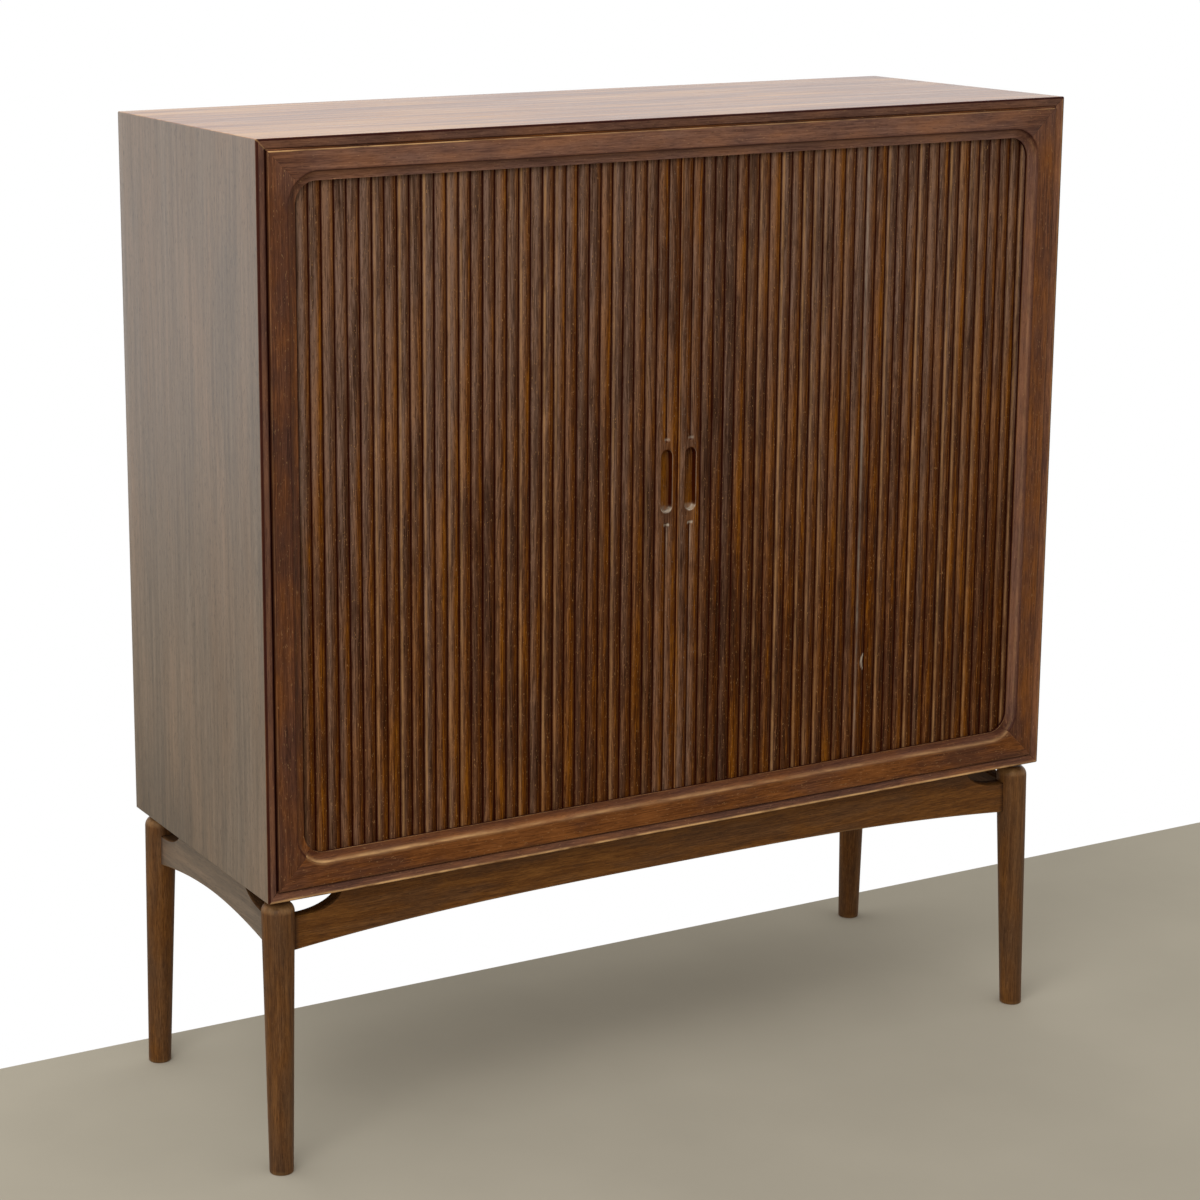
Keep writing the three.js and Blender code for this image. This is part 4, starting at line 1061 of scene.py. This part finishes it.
for nameY, sideY in (("front", -1), ("back", 1)):
    for nameX, sideX in (("left", -1), ("right", 1)):
        makeLeg(f"{nameY}_{nameX}", sideX, sideY)


# Points round the four corners of a rectangle, from the corner that is lowest in both directions on
def roundCorners(low, high, ease, reach):
    corners = []
    for a, b, turn in ((low[0] + ease, low[1] + ease, 180), (high[0] - ease, low[1] + ease, 270),
                       (high[0] - ease, high[1] - ease, 0), (low[0] + ease, high[1] - ease, 90)):
        angles = [math.radians(turn + step) for step in (0, 30, 60, 90)]
        corners.append([(a + reach * math.cos(angle), b + reach * math.sin(angle)) for angle in angles])
    return corners


# Height of a rail's top edge, which scoops down beside each leg
def railTop(along, start):
    share = (start - abs(along)) / rail["scoopLength"]
    if share >= 1:
        return case["bottom"] - 0.05
    return case["bottom"] - rail["scoopDepth"] * math.sqrt(1 - max(share, 0) ** 2)


def makeRail(name, kindName, side):
    kind = rail[kindName]
    long = kindName == "long"
    halfLength, corner = kind["half"], rail["round"]
    inner, outer = kind["face"] - rail["thickness"], kind["face"]
    legGap = halfLength - leg["topRadius"]
    start = legGap - rail["scoopFlat"]
    scoop = [start - rail["scoopLength"] * math.sin(math.pi / 2 * share)
             for share in spread(0, 1, rail["scoopSteps"] + 1)]
    middle = spread(-scoop[-1], scoop[-1], kind["stations"])[1:-1]
    places = [halfLength - rail["tenonStop"], legGap + 3, *scoop]
    places = [-place for place in places] + middle + places[::-1]
    rings, marks = [], []
    bow = wander()
    for along in places:
        low = case["bottom"] - lerp(rail["middle"], rail["end"], (abs(along) / halfLength) ** kind["power"])
        high = railTop(along, start)
        corners = roundCorners((inner, low), (outer, high), corner, corner)
        section = [(*point, rail["edgeWear"]) for point in corners[0]]
        section += [(*point, rail["arrisWear"]) for point in corners[1]]
        section += [(outer, lerp(low, high, share), 0) for share in rail["faceRows"]]
        section += [(*point, rail["edgeWear"]) for point in corners[2] + corners[3]]
        section += [(inner, lerp(high, low, share), 0) for share in rail["backRows"]]
        ring, ringMarks = [], []
        for place, z, wear in section:
            out = side * (place - rail["bow"] * (1 + bow(along)))
            point = across(kind["axis"], out, z, along)
            ring.append(point)
            x, y = legAxis(math.copysign(1, point[0]), math.copysign(1, point[1]), z)
            clear = math.hypot(point[0] - x, point[1] - y) - legRadius(z)
            # darker beside the legs and just under the case; the scoops are painted dark as shade
            besideLeg = rail["legDarkening"] * math.exp(-max(clear, 0) / rail["legDarkeningReach"])
            underCase = rail["caseDarkening"] * smooth(z, case["bottom"] - rail["caseDarkeningReach"], case["bottom"])
            inScoop = z > low + 20 and high < case["bottom"] - 1 and z > high - 2
            dirt = max(besideLeg, underCase, rail["scoopShade"] * inScoop)
            ringMarks.append((wear, dirt, kind["tone"], kind["warmth"]))
        rings.append(ring)
        marks.append(ringMarks)
    skins = []
    for index, (place, z, _) in enumerate(section):
        nextPlace, nextZ, _ = section[index - len(section) + 1]
        onTop = min(z, nextZ) > high - corner - 0.1 and abs(place - nextPlace) > 0.01
        skins.append(2 if onTop else int(not long and place == nextPlace == outer))
    shell = newShell()
    addLoft(shell, rings, marks, grainAlong(kind["axis"]), skins)
    finishes = [legWalnut, sideWalnut, scoopWalnut]
    makePiece(shell, f"{name}_shaped", "carcass", finishes, [name], sharp=35)


for name, kindName, side in (("front", "long", -1), ("back", "long", 1),
                             ("left", "short", -1), ("right", "short", 1)):
    makeRail(f"{name}_rail", kindName, side)
print("base made")


inside = {
    "shelf": (0.25, 0, 0.5, 0.6), "wall": (0.1, 0, 0.45, 0.5), "divider": (0.3, 0, 0.48, 0.55),
    "plywood": (0.1, 0, 0.5, 0.5), "faceWear": 0.7, "boardEdge": 1.2, "backEdge": 0.8, "innerBackEdge": 0.6,
}


def nodeBox(node):
    return [[value / mm for value in corner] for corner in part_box(node)]


# A board in the box of its node, with rounded edges that are rubbed by the wear in its look
def makePlank(node, axis, material, look, edge=inside["boardEdge"], sink=0.0):
    low, high = nodeBox(node)
    high[1] -= sink
    first, second, last = axisOrder[axis]
    near, far = [(corner[first], corner[second]) for corner in (low, high)]
    rings, marks = [], []
    for place, ease in ((low[last], edge), (low[last] + 0.3 * edge, 0.3 * edge), (low[last] + edge, 0),
                        (high[last] - edge, 0), (high[last] - 0.3 * edge, 0.3 * edge), (high[last], edge)):
        corners = roundCorners(near, far, edge, edge - ease * 0.999)
        ring = [across(axis, *point, place) for corner in corners for point in corner]
        rings.append(ring)
        wear = look[0] if ease else look[0] * inside["faceWear"]
        marks.append([(wear, *look[1:])] * len(ring))
    shell = newShell()
    addLoft(shell, rings, marks, grainAlong(axis))
    makePiece(shell, f"{node}_board", "carcass", [material], [node], sharp=40)


# A pin's groove and rounded end, as (place from its middle or end, how much thinner it is there)
pin = {"groove": ((0.5, 0.35), (0.6, 0)), "end": ((1, 0), (0.4, 0.3), (0, 1))}
# A head's outline as (place from its lower end, radius), from its socket out over the rim to the shank
screw = {"thread": 2.2, "root": 1.7, "crest": 2.2, "threadStart": 8, "turns": 11, "point": 0.8, "head": (
    (1.0, 1.0), (1.0, 1.6), (0, 2.0), (0, 4.0), (0.5, 4.5), (3.1, 4.5), (3.6, 4.0), (3.6, 2.2))}
backScrew = {"sink": 0.6, "radius": 3.4, "margin": 11, "acrossCount": 6, "upCount": 4}

makePlank("back_panel", "z", backPlywood, inside["plywood"],
          inside["backEdge"], backScrew["sink"])
makePlank("inner_back", "z", backPlywood, inside["plywood"], inside["innerBackEdge"])
makePlank("centre_divider", "z", insideWalnut, inside["divider"])
for side in doors:
    makePlank(f"{side}_inner_wall", "z", insideWalnut, inside["wall"])
    for level in (1, 2):
        makePlank(f"{side}_shelf_{level}", "x", insideWalnut, inside["shelf"])


# A turned piece about an axis through its middle: outline points are (distance along, radius).
def addTurned(shell, middle, axis, outline, count=20):
    first, second, last = axisOrder[axis]
    centre = (middle[first], middle[second])
    rings = [circle(axis, centre, radius, middle[last] + along, count) for along, radius in outline]
    addLoft(shell, rings, (0, 0, 0.5, 0.5), lambda point: point)


def makeFitting(node, axis, outlineOf, name, material):
    low, high = nodeBox(node)
    centre = [(a + b) / 2 for a, b in zip(low, high)]
    shell = newShell()
    addTurned(shell, centre, axis, outlineOf([b - c for b, c in zip(high, centre)]))
    makePiece(shell, f"{node}_{name}", "carcass", [material], [node])


# Both halves of a pin are alike.
def pinOutline(reach):
    long, _, radius = reach
    half = [(place, radius - less) for place, less in pin["groove"]]
    half += [(long - place, radius - less) for place, less in pin["end"]]
    return [(-along, size) for along, size in reversed(half)] + half


def screwOutline(reach):
    bottom = -reach[2]
    outline = [(bottom + along, radius) for along, radius in screw["head"]]
    for turn in range(screw["turns"]):
        z = bottom + screw["threadStart"] + turn * screw["thread"]
        outline += [(z, screw["root"]), (z + screw["thread"] / 2, screw["crest"])]
    return outline + [(reach[2], screw["point"])]


for side in doors:
    for level in (1, 2):
        for count in (1, 2, 3, 4):
            makeFitting(f"{side}_shelf_{level}_pin_{count}", "x", pinOutline, "brass", pinBrass)
for place in ("front_left", "front_right", "back_left", "back_right"):
    makeFitting(f"base_screw_{place}", "z", screwOutline, "turned", screwSteel)

# Round headed screws hold the back panel in its rebate.
low, high = nodeBox("back_panel")
radius, face, margin = backScrew["radius"], backScrew["sink"], backScrew["margin"]
edgeX, edgeZ = [(low[i] + margin, high[i] - margin) for i in (0, 2)]
places = [(x, z) for x in spread(*edgeX, backScrew["acrossCount"]) for z in edgeZ]
places += [(x, z) for x in edgeX for z in spread(*edgeZ, backScrew["upCount"])[1:-1]]
outline = [(-3, 1.5), (-0.3, 1.5), (-0.2, radius), (0.15, radius), (0.4, radius * 0.8),
           (face, radius * 0.45), (face, 1.1), (0.1, 0.9)]
shell = newShell()
for x, z in places:
    addTurned(shell, (x, high[1] - face, z), "y", outline)
makePiece(shell, "back_panel_screws", "carcass", [screwSteel])
print("back, inside and fittings made")


# Places and sizes of the studio and the view are in metres, but the clouds, lens and sensor in mm.
studio = {
    "floor": "#b1a998", "fadeNear": 2.2, "fadeFar": 5.5, "cloud": 454.54545, "cloudDetail": 5.0,
    "cloudSpan": (0.3, 0.7), "cloudTone": (0.93, 1.05), "half": 30, "wall": 0.262, "wallHeight": 12,
    "sky": 0.62, "rise": 0.35, "leftward": 0.28, "forward": 0.05,
    "keyWatts": 46, "keySize": 1.9, "keyPlace": (-2.3, -1.9, 3.1), "keyAim": (0, 0, 0.7),
}
# Standing a little left of the cabinet and above its top, with a long lens
view = {"place": (-1.9205, -3.1784, 1.5642), "turn": -28.276, "down": 12.232, "roll": -0.149,
        "lens": 87.46, "sensor": 36, "shiftX": 0.11925, "shiftY": -0.09821}
white = {"Color": (1, 1, 1, 1), "Strength": 1.0}


# One where a ray comes from the camera, or by way of metal or glass
def seenRays(tree):
    path = addNode(tree, "LightPath")
    both = addNode(tree, "Math", {"operation": "MAXIMUM"}, [path["Is Camera Ray"], path["Is Glossy Ray"]])[0]
    return addNode(tree, "Math", {"operation": "MAXIMUM"}, [both, path["Is Transmission Ray"]])[0]


# Sealed concrete, swept: a warm grey without shine, in soft clouds, that turns to white far off
def floorShader(tree):
    place = addNode(tree, "TexCoord")["Object"]
    cloud = addNode(tree, "TexNoise", None, {
        "Vector": place, "Scale": 1 / (studio["cloud"] * mm), "Detail": studio["cloudDetail"]})[0]
    cloud = addNode(tree, "MapRange", None, [cloud, *studio["cloudSpan"], *studio["cloudTone"]])[0]
    colour = addNode(tree, "VectorMath", {"operation": "SCALE"},
                     {0: linear(studio["floor"])[:3], "Scale": cloud})[0]
    paint = addNode(tree, "BsdfDiffuse", None, {"Color": colour})[0]
    distance = addNode(tree, "VectorMath", {"operation": "LENGTH"}, [place])["Value"]
    far = addNode(tree, "MapRange", {"interpolation_type": "SMOOTHSTEP"},
                  [distance, studio["fadeNear"], studio["fadeFar"]])[0]
    amount = addNode(tree, "Math", {"operation": "MULTIPLY"}, [far, seenRays(tree)])[0]
    return addNode(tree, "MixShader", None, [amount, paint, addNode(tree, "Emission", None, white)[0]])[0]


# Matt white paint in full light: even white, with no shade on it
def wallShader(tree):
    return addNode(tree, "Emission", None, white)[0]


# The floor and wall show from their fronts alone, so that the cabinet can be seen from below and behind.
def makeSheet(name, corners, materialName, shaderOf):
    mesh = bpy.data.meshes.new(name)
    mesh.from_pydata(corners, [], [(0, 1, 2, 3)])
    sheet = bpy.data.objects.new(name, mesh)
    bpy.context.scene.collection.objects.link(sheet)
    material, tree = newMaterial(materialName)
    behind = addNode(tree, "NewGeometry")["Backfacing"]
    clear = addNode(tree, "BsdfTransparent")[0]
    shown = addNode(tree, "MixShader", None, [behind, shaderOf(tree), clear])[0]
    addNode(tree, "OutputMaterial", None, {"Surface": shown})
    mesh.materials.append(material)
    return sheet


# A white wall stands close behind the cabinet. It lights and shades nothing.
def makeRoom():
    half, y, top = studio["half"], studio["wall"], studio["wallHeight"]
    makeSheet("studio_floor", [(-half, -half, 0), (half, -half, 0), (half, half, 0), (-half, half, 0)],
              "studioFloorConcreteSealed", floorShader)
    wall = makeSheet("studio_wall", [(-half, y, 0), (half, y, 0), (half, y, top), (-half, y, top)],
                     "studioWallPaintedMatt", wallShader)
    for rays in ("diffuse", "glossy", "transmission", "volume_scatter", "shadow"):
        setattr(wall, f"visible_{rays}", False)


# Light comes from all round, more from above, the left and the front, with a soft box at the upper left.
def makeLight():
    world = bpy.data.worlds.new("studio_room")
    bpy.context.scene.world = world
    world.use_nodes = True
    tree = world.node_tree
    tree.nodes.clear()
    direction = addNode(tree, "TexCoord")["Generated"]
    axes = addNode(tree, "SeparateXYZ", None, [direction])
    level = studio["sky"]
    for index, share in ((2, studio["rise"]), (0, -studio["leftward"]), (1, -studio["forward"])):
        level = addNode(tree, "Math", {"operation": "MULTIPLY_ADD"}, [axes[index], share, level])[0]
    lit = addNode(tree, "Background", None, {"Color": white["Color"], "Strength": level})[0]
    plain = addNode(tree, "Background", None, white)[0]
    shown = addNode(tree, "MixShader", None, [seenRays(tree), lit, plain])[0]
    addNode(tree, "OutputWorld", None, {"Surface": shown})
    key = bpy.data.lights.new("soft_box", "AREA")
    key.energy = studio["keyWatts"]
    key.size = studio["keySize"]
    lamp = bpy.data.objects.new("soft_box", key)
    lamp.location = studio["keyPlace"]
    aim = Vector(studio["keyAim"]) - Vector(studio["keyPlace"])
    lamp.rotation_euler = aim.to_track_quat("-Z", "Y").to_euler()
    lamp.visible_camera = False
    bpy.context.scene.collection.objects.link(lamp)


def makeCamera():
    data = bpy.data.cameras.new("photo_view")
    data.sensor_width = view["sensor"]
    data.lens = view["lens"]
    data.shift_x = view["shiftX"]
    data.shift_y = view["shiftY"]
    camera = bpy.data.objects.new("photo_view", data)
    camera.location = view["place"]
    turn = Euler((0, 0, math.radians(view["turn"]))).to_matrix()
    tilt = Euler((math.radians(90 - view["down"]), 0, 0)).to_matrix()
    roll = Euler((0, 0, math.radians(view["roll"]))).to_matrix()
    camera.rotation_euler = (turn @ tilt @ roll).to_euler()
    bpy.context.scene.collection.objects.link(camera)
    bpy.context.scene.camera = camera


makeRoom()
makeLight()
makeCamera()
bpy.context.scene.view_settings.view_transform = "Standard"
print("floor, light and camera made")

bpy.context.view_layer.update()
